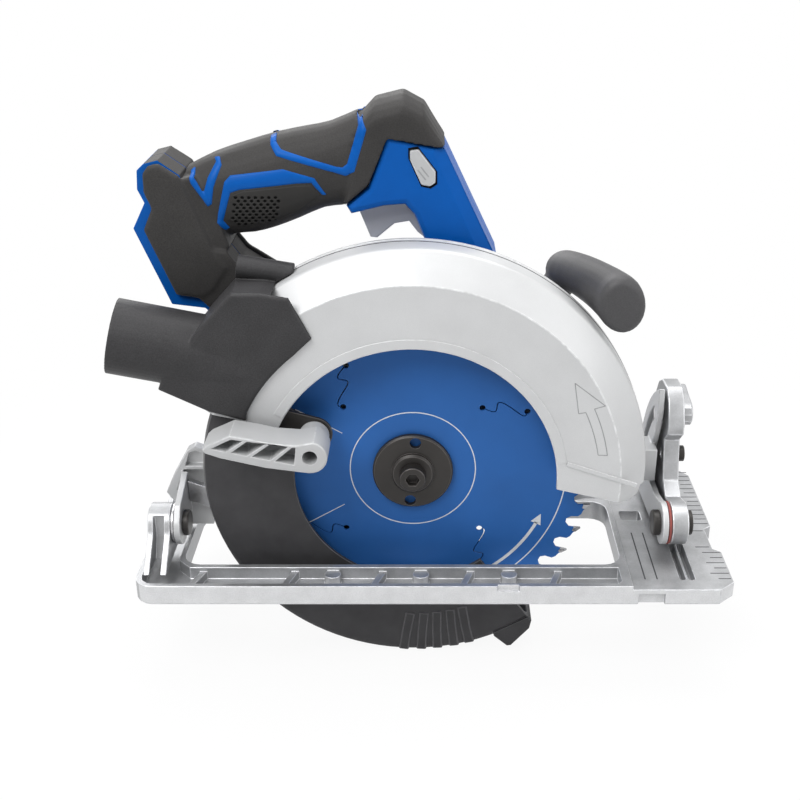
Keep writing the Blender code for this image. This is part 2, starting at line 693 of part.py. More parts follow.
CHUTE_OUTER = [(-4.5, 120.0), (4.4, 124.8), (12.3, 129.6), (11.2, 138.7), (12.5, 151.0), (14.1, 154.0)]
CHUTE_FOOT = [(13.7, 156.8), (-11.9, 157.6), (-29.7, 156.2)]
CHUTE_NEAR = -18.6
PORT_RADIUS = 18.0
PORT_WALL = 2.4
PORT_Y = -5.4
PORT_LEAN = 4.9


def beside_guard(proud, angle, y):
    """A point in space at a distance outside the upper guard's rim."""
    x, z = polar(UPPER_RADIUS + proud, angle)
    return x, y, z


def build_dust_chute(mat):
    outline = [polar(UPPER_RADIUS + proud, angle) for proud, angle in CHUTE_OUTER + CHUTE_FOOT]
    outline += arc(UPPER_RADIUS - 28.5, 153.5, 129, 8)
    outline += [polar(UPPER_RADIUS - 26.6, 120.9)]
    chute = prism(outline, CHUTE_NEAR, 12, round_low=1.6, steps=2)
    chute = finish("dust_chute", chute, mat["dark_plastic"])
    mouth = Vector(beside_guard(43.1, 152.4, PORT_Y))
    root = Vector(beside_guard(-23.1, 141.5, PORT_Y + PORT_LEAN))
    join(chute, slanted_rod(PORT_RADIUS, mouth, root, 44))
    boss = slanted_rod(5.6, beside_guard(16.6, 128.1, 5.5), beside_guard(-1.5, 119.1, 5.5), 20)
    join(chute, boss)
    envelope = rod(UPPER_RADIUS + 0.5, UPPER_NEAR - 0.4, 25, steps=120)
    bore = slanted_rod(PORT_RADIUS - PORT_WALL, mouth.lerp(root, -0.14), mouth.lerp(root, 0.535), 40)
    cut(chute, envelope, bore)
    finish("chute_screw", rod(2.4, -2, 8, polar(UPPER_RADIUS + 4.9, 158.4), steps=16), mat["steel"])


# The front handle's axis from the arm to the tip: X and Z from the knob's middle, Y, half width, half height
FRONT_HANDLE_AXIS = [
    (-27.0, 5.8, 47.0, 5.5, 5.0),
    (-26.0, 6.4, 44.0, 9.0, 7.8),
    (-24.5, 7.0, 38.0, 10.2, 8.8),
    (-18.5, 7.4, 27.0, 10.4, 9.8),
    (-11.5, 6.0, 16.0, 10.6, 11.4),
    (-5.8, 3.8, 7.0, 11.0, 13.4),
    (-3.0, 2.4, 0.0, 11.4, 14.8),
    (-2.6, 2.0, -3.6, 10.6, 14.0),
    (-2.4, 1.8, -5.4, 8.2, 11.6),
]
KNOB_ROOM = 16.6
KNOB_ANGLE = 40.15
KNOB_LEAN = 15.0


def build_front_handle(mat):
    knob_x, knob_z = polar(UPPER_RADIUS + KNOB_ROOM, KNOB_ANGLE)
    path = [(knob_x + x, y, knob_z + z, wide, tall) for x, z, y, wide, tall in FRONT_HANDLE_AXIS]
    path = smooth_line(path, 2)
    lean = math.radians(KNOB_LEAN)
    turns = [math.radians(360 * k / 22) for k in range(22)]
    rings = []
    for i, (x, y, z, wide, tall) in enumerate(path):
        before = Vector(path[max(i - 1, 0)][:3])
        after = Vector(path[min(i + 1, len(path) - 1)][:3])
        ahead = (after - before).normalized()
        side = ahead.cross(Vector((0, 0, 1))).normalized()
        up = side.cross(ahead)
        across = wide * (math.cos(lean) * side - math.sin(lean) * up)
        along = tall * (math.cos(lean) * up + math.sin(lean) * side)
        rings.append([Vector((x, y, z)) + math.cos(t) * across + math.sin(t) * along for t in turns])
    handle = finish("front_handle", loft(rings), mat["soft_grip"])
    root_x, root_z = polar(MOTOR_RADIUS + 3.1, 20.4, MOTOR_AXIS)
    arm = slanted_rod(8.2, (root_x, 34, root_z), (knob_x - 23.5, 38, knob_z + 4.5), 20)
    join(handle, arm)


def depth_bolt_centre():
    return polar(DEPTH_RADIUS, 180 - DEPTH_REST, DEPTH_PIN)


PILLAR = [
    (-30.8, 128.9),
    (-20.3, 137.5),
    (-11.5, 161.6),
    (15.5, 155.4),
    (41, 101.6),
    (36, 82),
    (20, 50),
    (-4, 50),
    (-4, 66),
    (4.5, 92),
    (7.4, 108.7),
    (1.2, 124.4),
    (-3.3, 129.4),
    (-12.9, 128.6),
    (-25.2, 125.6),
    (-28.5, 124.8),
]
DOCK = [
    (-123.9, 148.6),
    (-127.5, 145.4),
    (-128.2, 136.5),
    (-125.4, 130.0),
    (-131.9, 117.7),
    (-117.0, 79.8),
    (-101.0, 77.8),
    (-78.0, 54.0),
    (-40.0, 34.0),
    (-32.0, 54.0),
    (-62.0, 84.0),
    (-84.0, 99.0),
    (-88.6, 105.5),
    (-94.0, 107.2),
    (-107.8, 143.2),
    (-117.4, 150.2),
]
CORE_TOP = [(-112, 134), (-100, 141), (-66, 151), (-36, 157), (-12, 156)]
CORE_UNDER = [(-14, 142), (-38, 133), (-66, 124), (-104, 117)]
DOCK_CORNER = Vector((-131.9, 117.7))
DOCK_ALONG = Vector((0.376, -0.927))
DOCK_INWARD = Vector((0.927, 0.376))
NOSE = [
    (-24.0, 171.4),
    (-16.8, 180.4),
    (-3.8, 183.6),
    (5.8, 178.4),
    (16.0, 156.0),
    (-11.9, 162.4),
    (-20.8, 138.2),
    (-31.4, 129.4),
    (-32.0, 127.0),
]
# The nose across its width: the share of its half width, how far its crest is let down, and its inset
NOSE_CROWN = [
    (-1.0, 11.0, 3.0),
    (-0.97, 9.8, 1.2),
    (-0.88, 8.2, 0.2),
    (-0.66, 6.2, 0.0),
    (-0.32, 4.6, 0.0),
    (0.32, 4.6, 0.0),
    (0.66, 6.2, 0.0),
    (0.88, 8.2, 0.2),
    (0.97, 9.8, 1.2),
    (1.0, 11.0, 3.0),
]
GRIP_TOP = [(-107, 144), (-93, 150.7), (-78, 155.6), (-63.8, 159.7), (-50, 162.5), (-38.2, 164.8)]
GRIP_TOP += [(-25, 170.4)]
GRIP_UNDER = [(-93.2, 107.4), (-87, 111.8), (-76, 112.8), (-66, 115.3), (-54.4, 119.7), (-42, 125)]
GRIP_UNDER += [(-32.6, 126)]
GRIP_HALF = [17.0, 17.6, 18.0, 18.0, 17.6, 17.6, 18.0]


def core_prism(margin):
    """The plastic core inside the soft grip, grown by a margin."""
    grown = [(x, z + margin) for x, z in CORE_TOP] + [(x, z - margin) for x, z in CORE_UNDER]
    half = CORE_HALF + margin
    return prism(grown, HANDLE_MID - half, HANDLE_MID + half)


def dock_outline(along, inward):
    """A rectangle square to the dock's sloping face, from ranges along the face and into it."""
    corners = ((along[0], inward[0]), (along[1], inward[0]), (along[1], inward[1]), (along[0], inward[1]))
    return [DOCK_CORNER + DOCK_ALONG * a + DOCK_INWARD * b for a, b in corners]


def half_space(side):
    """A block that covers the far side of the handle's split plane."""
    low = HANDLE_MID - GAP / 2
    high = low + 60
    if side == "left":
        high = HANDLE_MID + GAP / 2
        low = high - 60
    return prism([(-200, 20), (120, 20), (120, 220), (-200, 220)], low, high)


def build_handle_shell(side, mat):
    near = HANDLE_MID - HANDLE_HALF
    far = HANDLE_MID + HANDLE_HALF
    shell = prism(PILLAR, near, far, round_low=3.0, round_high=3.0, steps=2)
    shell = finish(f"handle_shell_{side}", shell, mat["blue_plastic"])
    dock = prism(DOCK, HANDLE_MID - DOCK_HALF, HANDLE_MID + DOCK_HALF)
    join(shell, core_prism(0), dock)
    pocket = [(-28.2, 122), (-27.6, 130.2), (-23, 134.2), (-10, 143), (3, 141), (11, 118)]
    pocket += [(9, 106), (-5, 106)]
    mid = HANDLE_MID
    pin_end = TRIGGER_PIN_REACH + GAP
    block_room = BLOCK_HALF + GAP
    along = (BLOCK_SPAN[0] - GAP, BLOCK_SPAN[1] + GAP)
    inward = (SLOT_DEPTH - 3, BLOCK_DEPTH[1] + GAP)
    slot = dock_outline((5, 60), (-6, SLOT_DEPTH))
    cut(
        shell,
        half_space(side),
        rod(MOTOR_RADIUS + GAP, 0, 80, MOTOR_AXIS, steps=64),
        prism(pocket, HANDLE_MID - TRIGGER_ROOM, HANDLE_MID + TRIGGER_ROOM),
        rod(TRIGGER_PIN_RADIUS + RUNNING, mid - pin_end, mid + pin_end, TRIGGER_PIVOT, steps=28),
        prism(slot, HANDLE_MID - SLOT_WALL_HALF, HANDLE_MID + SLOT_WALL_HALF),
        prism(dock_outline(along, inward), HANDLE_MID - block_room, HANDLE_MID + block_room),
        lock_button_prism(LOCK_BUTTON_CLEAR, -60, 60),
    )


def lock_button_prism(margin, low, high):
    middle = Vector((5.4, 147.2))
    outline = [(-0.6, 155.2), (3.4, 155.8), (11.2, 145.6), (11.2, 140.4), (8.6, 138.6), (4.6, 139.4)]
    outline += [(-0.6, 151.0)]
    grown = [middle + (Vector(p) - middle) * (1 + margin / 8) for p in outline]
    return prism(grown, HANDLE_MID + low, HANDLE_MID + high)


def build_grip(mat):
    rows = smooth_line([(*t, *u, w) for t, u, w in zip(GRIP_TOP, GRIP_UNDER, GRIP_HALF)], 2)
    rings = []
    for x_top, z_top, x_low, z_low, half in rows:
        ring = []
        for k in range(28):
            turn = 2 * math.pi * k / 28
            up = math.copysign(abs(math.cos(turn)) ** 0.85, math.cos(turn))
            out = math.copysign(abs(math.sin(turn)) ** 0.85, math.sin(turn))
            share = (1 + up) / 2
            x = x_low + (x_top - x_low) * share
            z = z_low + (z_top - z_low) * share
            ring.append(Vector((x, HANDLE_MID + half * out, z)))
        rings.append(ring)
    grip = finish("grip_overmould", loft(rings), mat["soft_grip"])
    cut(grip, core_prism(GAP))


def nose_ring(y, drop, inset):
    """The nose's outline at one depth, with its crest let down and its border drawn in."""
    low = NOSE[5][1]
    middle = Vector((-10, 158))
    ring = []
    for x, z in NOSE:
        share = max(0.0, min(1.0, (z - low) / 13))
        point = Vector((x, z - drop * share))
        point += (middle - point).normalized() * inset
        ring.append(Vector((point.x, HANDLE_MID + y, point.y)))
    return ring


def build_handle(mat):
    for side in ("right", "left"):
        build_handle_shell(side, mat)
    build_grip(mat)
    nose_half = HANDLE_HALF + 1.0
    nose = loft([nose_ring(nose_half * share, drop, inset) for share, drop, inset in NOSE_CROWN])
    nose = finish("nose_overmould", nose, mat["soft_grip"])
    cut(nose, core_prism(GAP))
    cover = [(-121.6, 147.8), (-124.4, 144.2), (-124.6, 135.4), (-121.6, 128.0), (-126.4, 117.6)]
    cover += [(-113.8, 85.4), (-101.5, 83.6), (-95.6, 87.0), (-87.0, 99.6), (-94.2, 107.6), (-108.0, 143.0)]
    cover += [(-117.0, 149.0)]
    near = HANDLE_MID - DOCK_HALF - GAP
    far = HANDLE_MID + DOCK_HALF + GAP
    right = prism(cover, near - DOCK_COVER_THICK, near, round_low=1.6, steps=2)
    finish("dock_cover_right", right, mat["soft_grip"])
    left = prism(cover, far, far + DOCK_COVER_THICK, round_high=1.6, steps=2)
    finish("dock_cover_left", left, mat["soft_grip"])


def build_controls(mat):
    trigger = [(-25.6, 125.8), (-20.0, 111.6), (-16.8, 111.2), (-8.4, 118.2), (-1.4, 119.4), (2.6, 114)]
    trigger += [(6.4, 111), (0.6, 127), (-3, 132), (-13, 132), (-24, 129)]
    near = HANDLE_MID - TRIGGER_HALF
    far = HANDLE_MID + TRIGGER_HALF
    trigger = prism(trigger, near, far, round_low=1.0, round_high=1.0, steps=2)
    trigger = finish("trigger", trigger, mat["mid_plastic"])
    reach = TRIGGER_PIN_REACH
    join(trigger, rod(TRIGGER_PIN_RADIUS, HANDLE_MID - reach, HANDLE_MID + reach, TRIGGER_PIVOT, steps=28))
    proud = HANDLE_HALF + LOCK_BUTTON_PROUD
    flush = HANDLE_HALF - 0.8
    finish("lock_off_button", lock_button_prism(0, -proud, flush), mat["light_plastic"])
    block = prism(dock_outline(BLOCK_SPAN, BLOCK_DEPTH), HANDLE_MID - BLOCK_HALF, HANDLE_MID + BLOCK_HALF)
    block = finish("terminal_block", block, mat["dark_plastic"])
    blades = []
    for k in range(4):
        y = HANDLE_MID - 6.6 + 4.0 * k
        span = (BLOCK_SPAN[0] + 2, BLOCK_SPAN[1] - 2)
        blades.append(prism(dock_outline(span, (BLOCK_DEPTH[0] - 6.5, BLOCK_DEPTH[0] + 3)), y, y + 1.0))
    join(block, merged(*blades))


def build_base(mat):
    outline = arc(9, 180, 270, 4, (BASE_REAR + 9, BASE_NEAR + 9))
    notch = BASE_FRONT - 4
    outline += [(BASE_FRONT - 8, BASE_NEAR), (BASE_FRONT, -29), (BASE_FRONT, -1), (notch, 2), (notch, 22)]
    outline += [(BASE_FRONT, 25), (BASE_FRONT, 82), (BASE_FRONT - 10, BASE_FAR)]
    outline += arc(9, 90, 180, 4, (BASE_REAR + 9, BASE_FAR - 9))
    base = prism(outline, SOLE, BASE_TOP, "Z", round_low=1.0, steps=1)
    base = finish("base_shoe", base, mat["cast_aluminium"])
    floor = -52.5
    inner_far = WINDOW_NEAR - 3
    end = WINDOW_FRONT - 2
    outer_far = BASE_FAR - 3
    channel = arc(6, 180, 270, 3, (BASE_REAR + 9, BASE_NEAR + 9))
    channel += [(end - 2, BASE_NEAR + 3), (end, BASE_NEAR + 5), (end, inner_far)]
    channel += [(WINDOW_REAR + 4, inner_far), (WINDOW_REAR - 2.6, inner_far + 7)]
    channel += [(WINDOW_REAR - 3, outer_far), (BASE_REAR + 3, outer_far)]
    step = WINDOW_FRONT + 3
    beyond = BASE_FRONT + 40
    front = [(step, BASE_NEAR - 5), (beyond, BASE_NEAR - 5), (beyond, BASE_FAR + 14), (step, BASE_FAR + 14)]
    strip = rounded_box((WINDOW_REAR + 3, WINDOW_FAR + 3), (end, outer_far), 4)
    slots = [
        prism(rounded_box((BASE_FRONT - 26.2, -27), (BASE_FRONT - 23.4, 7.5), 1.2, 2), floor - 1, -40, "Z"),
        prism(rounded_box((BASE_FRONT - 22.2, -27), (BASE_FRONT - 18.8, 7.5), 1.4, 2), floor - 1, -40, "Z"),
    ]
    left = step + 3
    right = step + 16
    edge = BASE_NEAR - 4
    rim = BASE_NEAR + 2.5
    notches = [
        prism([(left, edge), (right, edge), (right, rim), (left, rim)], SOLE - 2, DECK - 2.5, "Z"),
        prism([(40, edge), (54, edge), (52, rim - 1), (42, rim - 1)], -49, -40, "Z"),
    ]
    sight = rounded_box((step + 4, 31), (step + 15, 41), 1.5, 2)
    window = rounded_box((WINDOW_REAR, WINDOW_NEAR), (WINDOW_FRONT, WINDOW_FAR), 9)
    cut(
        base,
        prism(window, SOLE - 5, -30, "Z"),
        prism(channel, floor, -30, "Z"),
        prism(front, DECK, -30, "Z"),
        prism(strip, floor, -30, "Z"),
        prism(sight, SOLE - 5, -30, "Z"),
        merged(*slots),
        merged(*notches),
    )
    bosses = []
    for k, x in enumerate((-108, -62, -40, -18, 4, 26, 48, 70)):
        if k % 2 or k == 0:
            near, far = BASE_NEAR + 2, WINDOW_NEAR - 2
            bar = [(x - 4, near), (x - 0.5, near), (x + 5, far), (x + 1.5, far)]
            bosses.append(prism(bar, floor - 1, -48.2, "Z"))
        else:
            bosses.append(prism(arc(4.2, 0, 330, 11, (x, WINDOW_NEAR - 6)), floor - 1, -47.6, "Z"))
    join(base, merged(*bosses))


def build_front_pivot(mat):
    bracket_far = FRONT_BRACKET_AT + FRONT_BRACKET_THICK
    washer_near = bracket_far + GAP
    washer_far = washer_near + FRONT_WASHER_THICK
    upright_near = washer_far + GAP
    upright_far = upright_near + FRONT_UPRIGHT_THICK
    bolt_at = polar(SLOT_RADIUS, BEVEL_BOLT_ANGLE, BEVEL_AXIS)
    upright = [(9, DECK + GAP)] + arc(PIVOT_EYE, 285, 60, 15, BEVEL_AXIS)
    upright += [(13, -23.5), (22, -18.5), (25.5, -8), (27.5, 2.5), (20.5, 8.5), (20, 14), (25.5, 25)]
    upright += [(33, 30), (45, 29.5), (53, 25)]
    upright += [(60, 14), (64, -10), (66, DECK + GAP)]
    upright = finish("front_upright", prism(upright, upright_near, upright_far, "X"), mat["cast_aluminium"])
    cut(
        upright,
        rod(PIVOT_RADIUS + GAP, upright_near - 8, upright_far + 8, BEVEL_AXIS, "X"),
        rod(CLAMP_RADIUS + GAP, upright_near - 8, upright_far + 8, bolt_at, "X"),
        rod(STOP_SCREW_RADIUS + GAP, upright_near - 8, upright_far + 8, STOP_SCREW_AT, "X"),
    )
    build_front_bracket(bracket_far, mat)
    head_near = FRONT_BRACKET_AT - GAP
    head = arc(PIVOT_HEAD_RADIUS, 0, 345, 23, BEVEL_AXIS)
    head = prism(head, head_near - PIVOT_HEAD - 0.7, head_near, "X", round_low=0.8, steps=2)
    bolt = finish("front_pivot_bolt", head, mat["black_oxide"])
    join(bolt, rod(PIVOT_RADIUS, head_near - 1, upright_far + 0.6, BEVEL_AXIS, "X"))
    nut_near = upright_far + GAP
    nut_far = nut_near + FRONT_NUT_THICK
    nut = tube(PIVOT_RADIUS + 0.1, PIVOT_HEAD_RADIUS - 0.2, nut_near, nut_far, BEVEL_AXIS, "X")
    finish("front_pivot_nut", nut, mat["black_oxide"])
    washer = tube(PIVOT_RADIUS + BORE_CLEAR, PIVOT_EYE, washer_near, washer_far, BEVEL_AXIS, "X")
    finish("front_friction_washer", washer, mat["red_fibre"])
    build_bevel_lock(bolt_at, washer_near, washer_far, upright_far, mat)
    finish("depth_pin", rod(PIN_RADIUS, BACK_NEAR + 0.1, DEPTH_BOSS_FAR + 10.5, DEPTH_PIN), mat["steel"])


def build_front_bracket(far, mat):
    """The quadrant that tilts with the head, with its bevel slot and the arm that holds the depth pin."""
    quadrant = arc(PIVOT_EYE, 55, 290, 16, BEVEL_AXIS) + arc(QUADRANT_RADIUS, -12, 66, 17, BEVEL_AXIS)
    quadrant += [(25.8, 20), (29.5, 7), (37, -8), (39, -19), (35, -25), (20, -25)]
    bracket = finish("front_bracket", prism(quadrant, FRONT_BRACKET_AT, far, "X"), mat["silver_paint"])
    reach = FRONT_BRACKET_AT + 1.6
    eye = DEPTH_PIN[1]
    arm = arc(DEPTH_EYE, 90, 270, 10, DEPTH_PIN) + [(reach, eye - DEPTH_EYE), (reach, eye + DEPTH_EYE)]
    arm_near = DEPTH_BOSS_FAR + 0.7
    join(bracket, prism(arm, arm_near, arm_near + DEPTH_ARM_WIDE))
    low = BEVEL_BOLT_ANGLE - BEVEL_RANGE - 3.2
    high = BEVEL_BOLT_ANGLE + 3.2
    slot = arc(SLOT_RADIUS + SLOT_HALF, low, high, 14, BEVEL_AXIS)
    slot += arc(SLOT_RADIUS - SLOT_HALF, high, low, 14, BEVEL_AXIS)
    cut(
        bracket,
        prism(slot, FRONT_BRACKET_AT - 5, far + 6, "X"),
        rod(PIVOT_RADIUS + RUNNING, FRONT_BRACKET_AT - 5, far + 6, BEVEL_AXIS, "X"),
        rod(PIN_RADIUS + 0.02, arm_near - 6, arm_near + DEPTH_ARM_WIDE - 1.5, DEPTH_PIN),
    )


def build_bevel_lock(bolt_at, washer_near, washer_far, upright_far, mat):
    """The clamp bolt in the upright, its lever, and the stop screw below it."""
    lever_near = upright_far + 1.0
    clamp = rod(CLAMP_RADIUS, washer_near - 2.6, lever_near + 6, bolt_at, "X")
    clamp = finish("bevel_lock_bolt", clamp, mat["steel"])
    join(clamp, prism(arc(CLAMP_RADIUS + 1.6, 0, 300, 5, bolt_at), washer_near + 0.2, washer_far, "X"))
    tip = (bolt_at[0] + 16, bolt_at[1] + 6)
    lever = belt(bolt_at, CLAMP_RADIUS + 3.5, tip, 3.2, 6)
    lever = prism(lever, lever_near, lever_near + 5.5, "X", round_high=1.0, steps=2)
    lever = finish("bevel_lock_lever", lever, mat["cast_aluminium"])
    cut(lever, rod(CLAMP_RADIUS + RUNNING, lever_near - 5, lever_near + 10, bolt_at, "X"))
    head = prism(arc(4.2, 0, 345, 23, STOP_SCREW_AT), upright_far + GAP, upright_far + 3.5, "X")
    screw = finish("bevel_stop_screw", head, mat["black_oxide"])
    join(screw, rod(STOP_SCREW_RADIUS, upright_far - 6, upright_far + 1, STOP_SCREW_AT, "X", 16))


def build_rear_pivot(mat):
    upright_far = REAR_UPRIGHT_AT + REAR_UPRIGHT_THICK
    washer_near = upright_far + GAP
    washer_far = washer_near + REAR_WASHER_THICK
    bracket_near = washer_far + GAP
    bracket_far = bracket_near + REAR_BRACKET_THICK
    foot = BASE_TOP + GAP
    eye = PIVOT_EYE - 0.6
    upright = [(-27, foot), (-12, -33)] + arc(eye, 170, 10, 10, BEVEL_AXIS) + [(12, foot)]
    upright = finish("rear_upright", prism(upright, REAR_UPRIGHT_AT, upright_far, "X"), mat["cast_aluminium"])
    back = -PIVOT_RADIUS - 1.6
    hollow = [(-45, foot - 3), (-45, -23.4), (back, -23.4), (back, -35), (-13.5, foot - 3)]
    cut(
        upright,
        rod(PIVOT_RADIUS + GAP, REAR_UPRIGHT_AT - 4, upright_far + 4, BEVEL_AXIS, "X"),
        prism(hollow, REAR_UPRIGHT_AT + 2.9, upright_far - 3.2, "X"),
    )
    washer = tube(PIVOT_RADIUS + BORE_CLEAR, eye, washer_near, washer_far, BEVEL_AXIS, "X")
    finish("rear_friction_washer", washer, mat["steel"])
    bracket = arc(PIVOT_EYE, 150, 300, 12, BEVEL_AXIS)
    bracket += [(20, -35), (30, -28), (31, -14), (26, -9), (12, -14), (-4, -19)]
    bracket = finish("rear_bracket", prism(bracket, bracket_near, bracket_far, "X"), mat["silver_paint"])
    low = Vector((11, -30.5))
    corners = [low + Vector(step) for step in ((0, 0), (7, 2), (6.6, 11), (-0.5, 9))]
    cut(
        bracket,
        rod(PIVOT_RADIUS + RUNNING, bracket_near - 9, bracket_far + 5, BEVEL_AXIS, "X"),
        prism(corners, bracket_near - 4, bracket_far - 2.1, "X"),
    )
    add_rear_web(bracket, bracket_near, bracket_far)
    head_near = bracket_far + GAP
    head = arc(PIVOT_HEAD_RADIUS, 0, 345, 23, BEVEL_AXIS)
    head = prism(head, head_near, head_near + PIVOT_HEAD, "X", round_high=0.8, steps=2)
    bolt = finish("rear_pivot_bolt", head, mat["black_oxide"])
    join(bolt, rod(PIVOT_RADIUS, REAR_UPRIGHT_AT + 1.5, head_near + 1.6, BEVEL_AXIS, "X"))
    build_depth_stop(bracket_far + GAP, mat)


def add_rear_web(bracket, near, far):
    """The ribbed web that stiffens the rear bracket behind the depth arc."""
    web = [(near - 9.2, -24), (near - 4.7, -14.3), (near + 3.7, 0.4), (far + 4.7, 2.8), (far + 8.6, 1.3)]
    web += [(far + 11.1, -8), (far + 11.1, -43.5), (near + 0.8, -43.5), (near - 1.7, -36)]
    low = DEPTH_ARC_NEAR + DEPTH_ARC_THICK + 2 * GAP
    high = low + 5.8
    join(bracket, prism(web, low, high))
    upper = [(near + 4.6, -1.2), (far + 4.9, 0.2), (far + 7.8, -1.2), (far + 8.6, -8.6), (near + 2.2, -8.6)]
    lower = [(near + 1.1, -10.8), (far + 8.6, -10.8), (far + 8.6, -23.2), (near - 3.4, -23.2)]
    floor = high - 2.0
    cut(bracket, merged(prism(upper, low - 0.2, floor), prism(lower, low - 0.2, floor)))


def build_depth_stop(arm_at, mat):
    """The slotted arc on the rear bracket, and the bolt and lever that clamp the head to it."""
    low = 180 + 8
    high = 180 - DEPTH_REST - DEPTH_UP - 3
    plate = arc(DEPTH_RADIUS - DEPTH_ARC_HALF, low, high, 18, DEPTH_PIN)
    plate += arc(DEPTH_RADIUS + DEPTH_ARC_HALF, high, low - 4, 18, DEPTH_PIN)
    plate += [(arm_at, -15), (arm_at, -27), (-96, -34)]
    far = DEPTH_ARC_NEAR + DEPTH_ARC_THICK
    plate = finish("depth_arc", prism(plate, DEPTH_ARC_NEAR, far), mat["steel"])
    bottom = 180 - DEPTH_REST + DEPTH_DOWN + 1.1
    top = 180 - DEPTH_REST - DEPTH_UP - 1.1
    slot = arc(DEPTH_RADIUS - DEPTH_SLOT_HALF, bottom, top, 18, DEPTH_PIN)
    slot += arc(DEPTH_RADIUS + DEPTH_SLOT_HALF, top, bottom, 18, DEPTH_PIN)
    cut(plate, prism(slot, DEPTH_ARC_NEAR - 4, far + 6))
    at = depth_bolt_centre()
    finish("depth_lock_bolt", rod(CLAMP_RADIUS, BACK_NEAR + GAP, far + 12.4, at), mat["steel"])
    lever_near = far + 1.4
    lever = belt(at, CLAMP_RADIUS + 4.5, (at[0] + 26, at[1] - 24), 4.5, 6)
    lever = prism(lever, lever_near, lever_near + 7, round_low=1.0, round_high=1.0, steps=2)
    lever = finish("depth_lock_lever", lever, mat["dark_plastic"])
    cut(lever, rod(CLAMP_RADIUS + RUNNING, lever_near - 5, lever_near + 15, at))


def palette():
    return {
        "silver_paint": paint("silver_paint", (0.62, 0.63, 0.64), 0.34, 0.55),
        "cast_aluminium": paint("cast_aluminium", (0.70, 0.71, 0.73), 0.42, 0.85),
        "aluminium": paint("aluminium", (0.66, 0.67, 0.69), 0.4, 0.9),
        "steel": paint("steel", (0.58, 0.58, 0.60), 0.28, 1.0),
        "black_oxide": paint("black_oxide", (0.045, 0.04, 0.038), 0.42, 0.6),
        "blade_blue": paint("blade_blue", (0.03, 0.12, 0.36), 0.38, 0.2),
        "guard_grey": paint("guard_grey", (0.055, 0.055, 0.058), 0.45, 0.2),
        "blue_plastic": paint("blue_plastic", (0.012, 0.14, 0.62), 0.42),
        "dark_plastic": paint("dark_plastic", (0.065, 0.065, 0.068), 0.55),
        "soft_grip": paint("soft_grip", (0.05, 0.048, 0.048), 0.62),
        "light_plastic": paint("light_plastic", (0.62, 0.62, 0.63), 0.45),
        "mid_plastic": paint("mid_plastic", (0.20, 0.20, 0.21), 0.5),
        "red_fibre": paint("red_fibre", (0.28, 0.07, 0.06), 0.7),
        "copper": paint("copper", (0.55, 0.25, 0.12), 0.35, 1.0),
    }


def main():
    clear_scene()
    frame = bpy.data.objects.new("saw_frame", None)
    frame.location = Vector(HEAD_OFFSET) * MM
    bpy.context.scene.collection.objects.link(frame)
    mat = palette()
    build_blade(mat)
    build_gears(mat)
    build_bearings(mat)
    build_gear_housing(mat)
    build_motor(mat)
    build_upper_guard(mat)
    build_lower_guard(mat)
    build_guard_lever(mat)
    build_dust_chute(mat)
    build_front_handle(mat)
    build_handle(mat)
    build_controls(mat)
    build_base(mat)
    build_front_pivot(mat)
    build_rear_pivot(mat)


main()
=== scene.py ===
"""Looks of the cordless circular saw: skins over the CAD nodes, small details, materials, light and camera.

Details are written in millimetres in the saw's own frame: the blade's centre is the origin, X points
forward, Y from the blade towards the motor and Z up. Angles are in degrees.
"""

import json
import math

import bmesh
import bpy
from mathutils import Matrix, Vector
from mathutils.bvhtree import BVHTree


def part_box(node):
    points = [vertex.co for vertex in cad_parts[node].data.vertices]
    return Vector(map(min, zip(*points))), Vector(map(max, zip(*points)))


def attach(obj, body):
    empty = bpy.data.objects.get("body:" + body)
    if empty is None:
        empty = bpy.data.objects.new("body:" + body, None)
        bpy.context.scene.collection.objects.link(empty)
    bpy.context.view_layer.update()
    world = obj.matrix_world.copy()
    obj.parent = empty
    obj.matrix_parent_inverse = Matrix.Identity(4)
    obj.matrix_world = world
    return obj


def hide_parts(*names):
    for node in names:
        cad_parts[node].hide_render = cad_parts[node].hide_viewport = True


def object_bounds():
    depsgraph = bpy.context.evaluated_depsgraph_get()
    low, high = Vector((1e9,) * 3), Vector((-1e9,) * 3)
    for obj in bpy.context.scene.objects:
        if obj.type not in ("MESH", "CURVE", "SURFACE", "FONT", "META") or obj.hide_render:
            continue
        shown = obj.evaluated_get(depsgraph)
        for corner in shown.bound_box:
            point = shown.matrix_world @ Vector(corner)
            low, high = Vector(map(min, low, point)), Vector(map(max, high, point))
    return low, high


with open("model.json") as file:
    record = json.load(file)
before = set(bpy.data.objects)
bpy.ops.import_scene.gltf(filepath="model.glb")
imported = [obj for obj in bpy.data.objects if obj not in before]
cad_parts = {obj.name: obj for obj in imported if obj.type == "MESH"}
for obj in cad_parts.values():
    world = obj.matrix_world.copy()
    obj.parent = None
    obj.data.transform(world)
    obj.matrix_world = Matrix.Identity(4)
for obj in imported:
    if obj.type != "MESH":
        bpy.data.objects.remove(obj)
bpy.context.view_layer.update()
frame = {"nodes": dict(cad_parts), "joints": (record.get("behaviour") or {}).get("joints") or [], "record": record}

MM = 0.001
X, Y = 0, 1
HEAD = Vector(next(j["pos_m"] for j in frame["joints"] if j["name"] == "blade_spin"))
BODY_OF = {node: body for body, nodes in frame["record"]["behaviour"]["bodies"].items() for node in nodes}
MAT = {}
WORN_LIT_EDGE = {}

GUARD_FACE = -16.0
GUARD_RADIUS = 115.5
LOWER_FACE = -10.5
BLADE_RADIUS = 92.0
BLADE_FACE = -0.6
TEETH = 40
FIRST_TOOTH = -12.8
HANDLE_MID = 36.0
HANDLE_HALF = 18.0
MOTOR_AXIS = (-4.69, 26.59)
DECK = -48.0


def spot(x, y, z):
    """A point of the saw's own frame, in millimetres, as a point of the scene."""
    return HEAD + Vector((x, y, z)) * MM


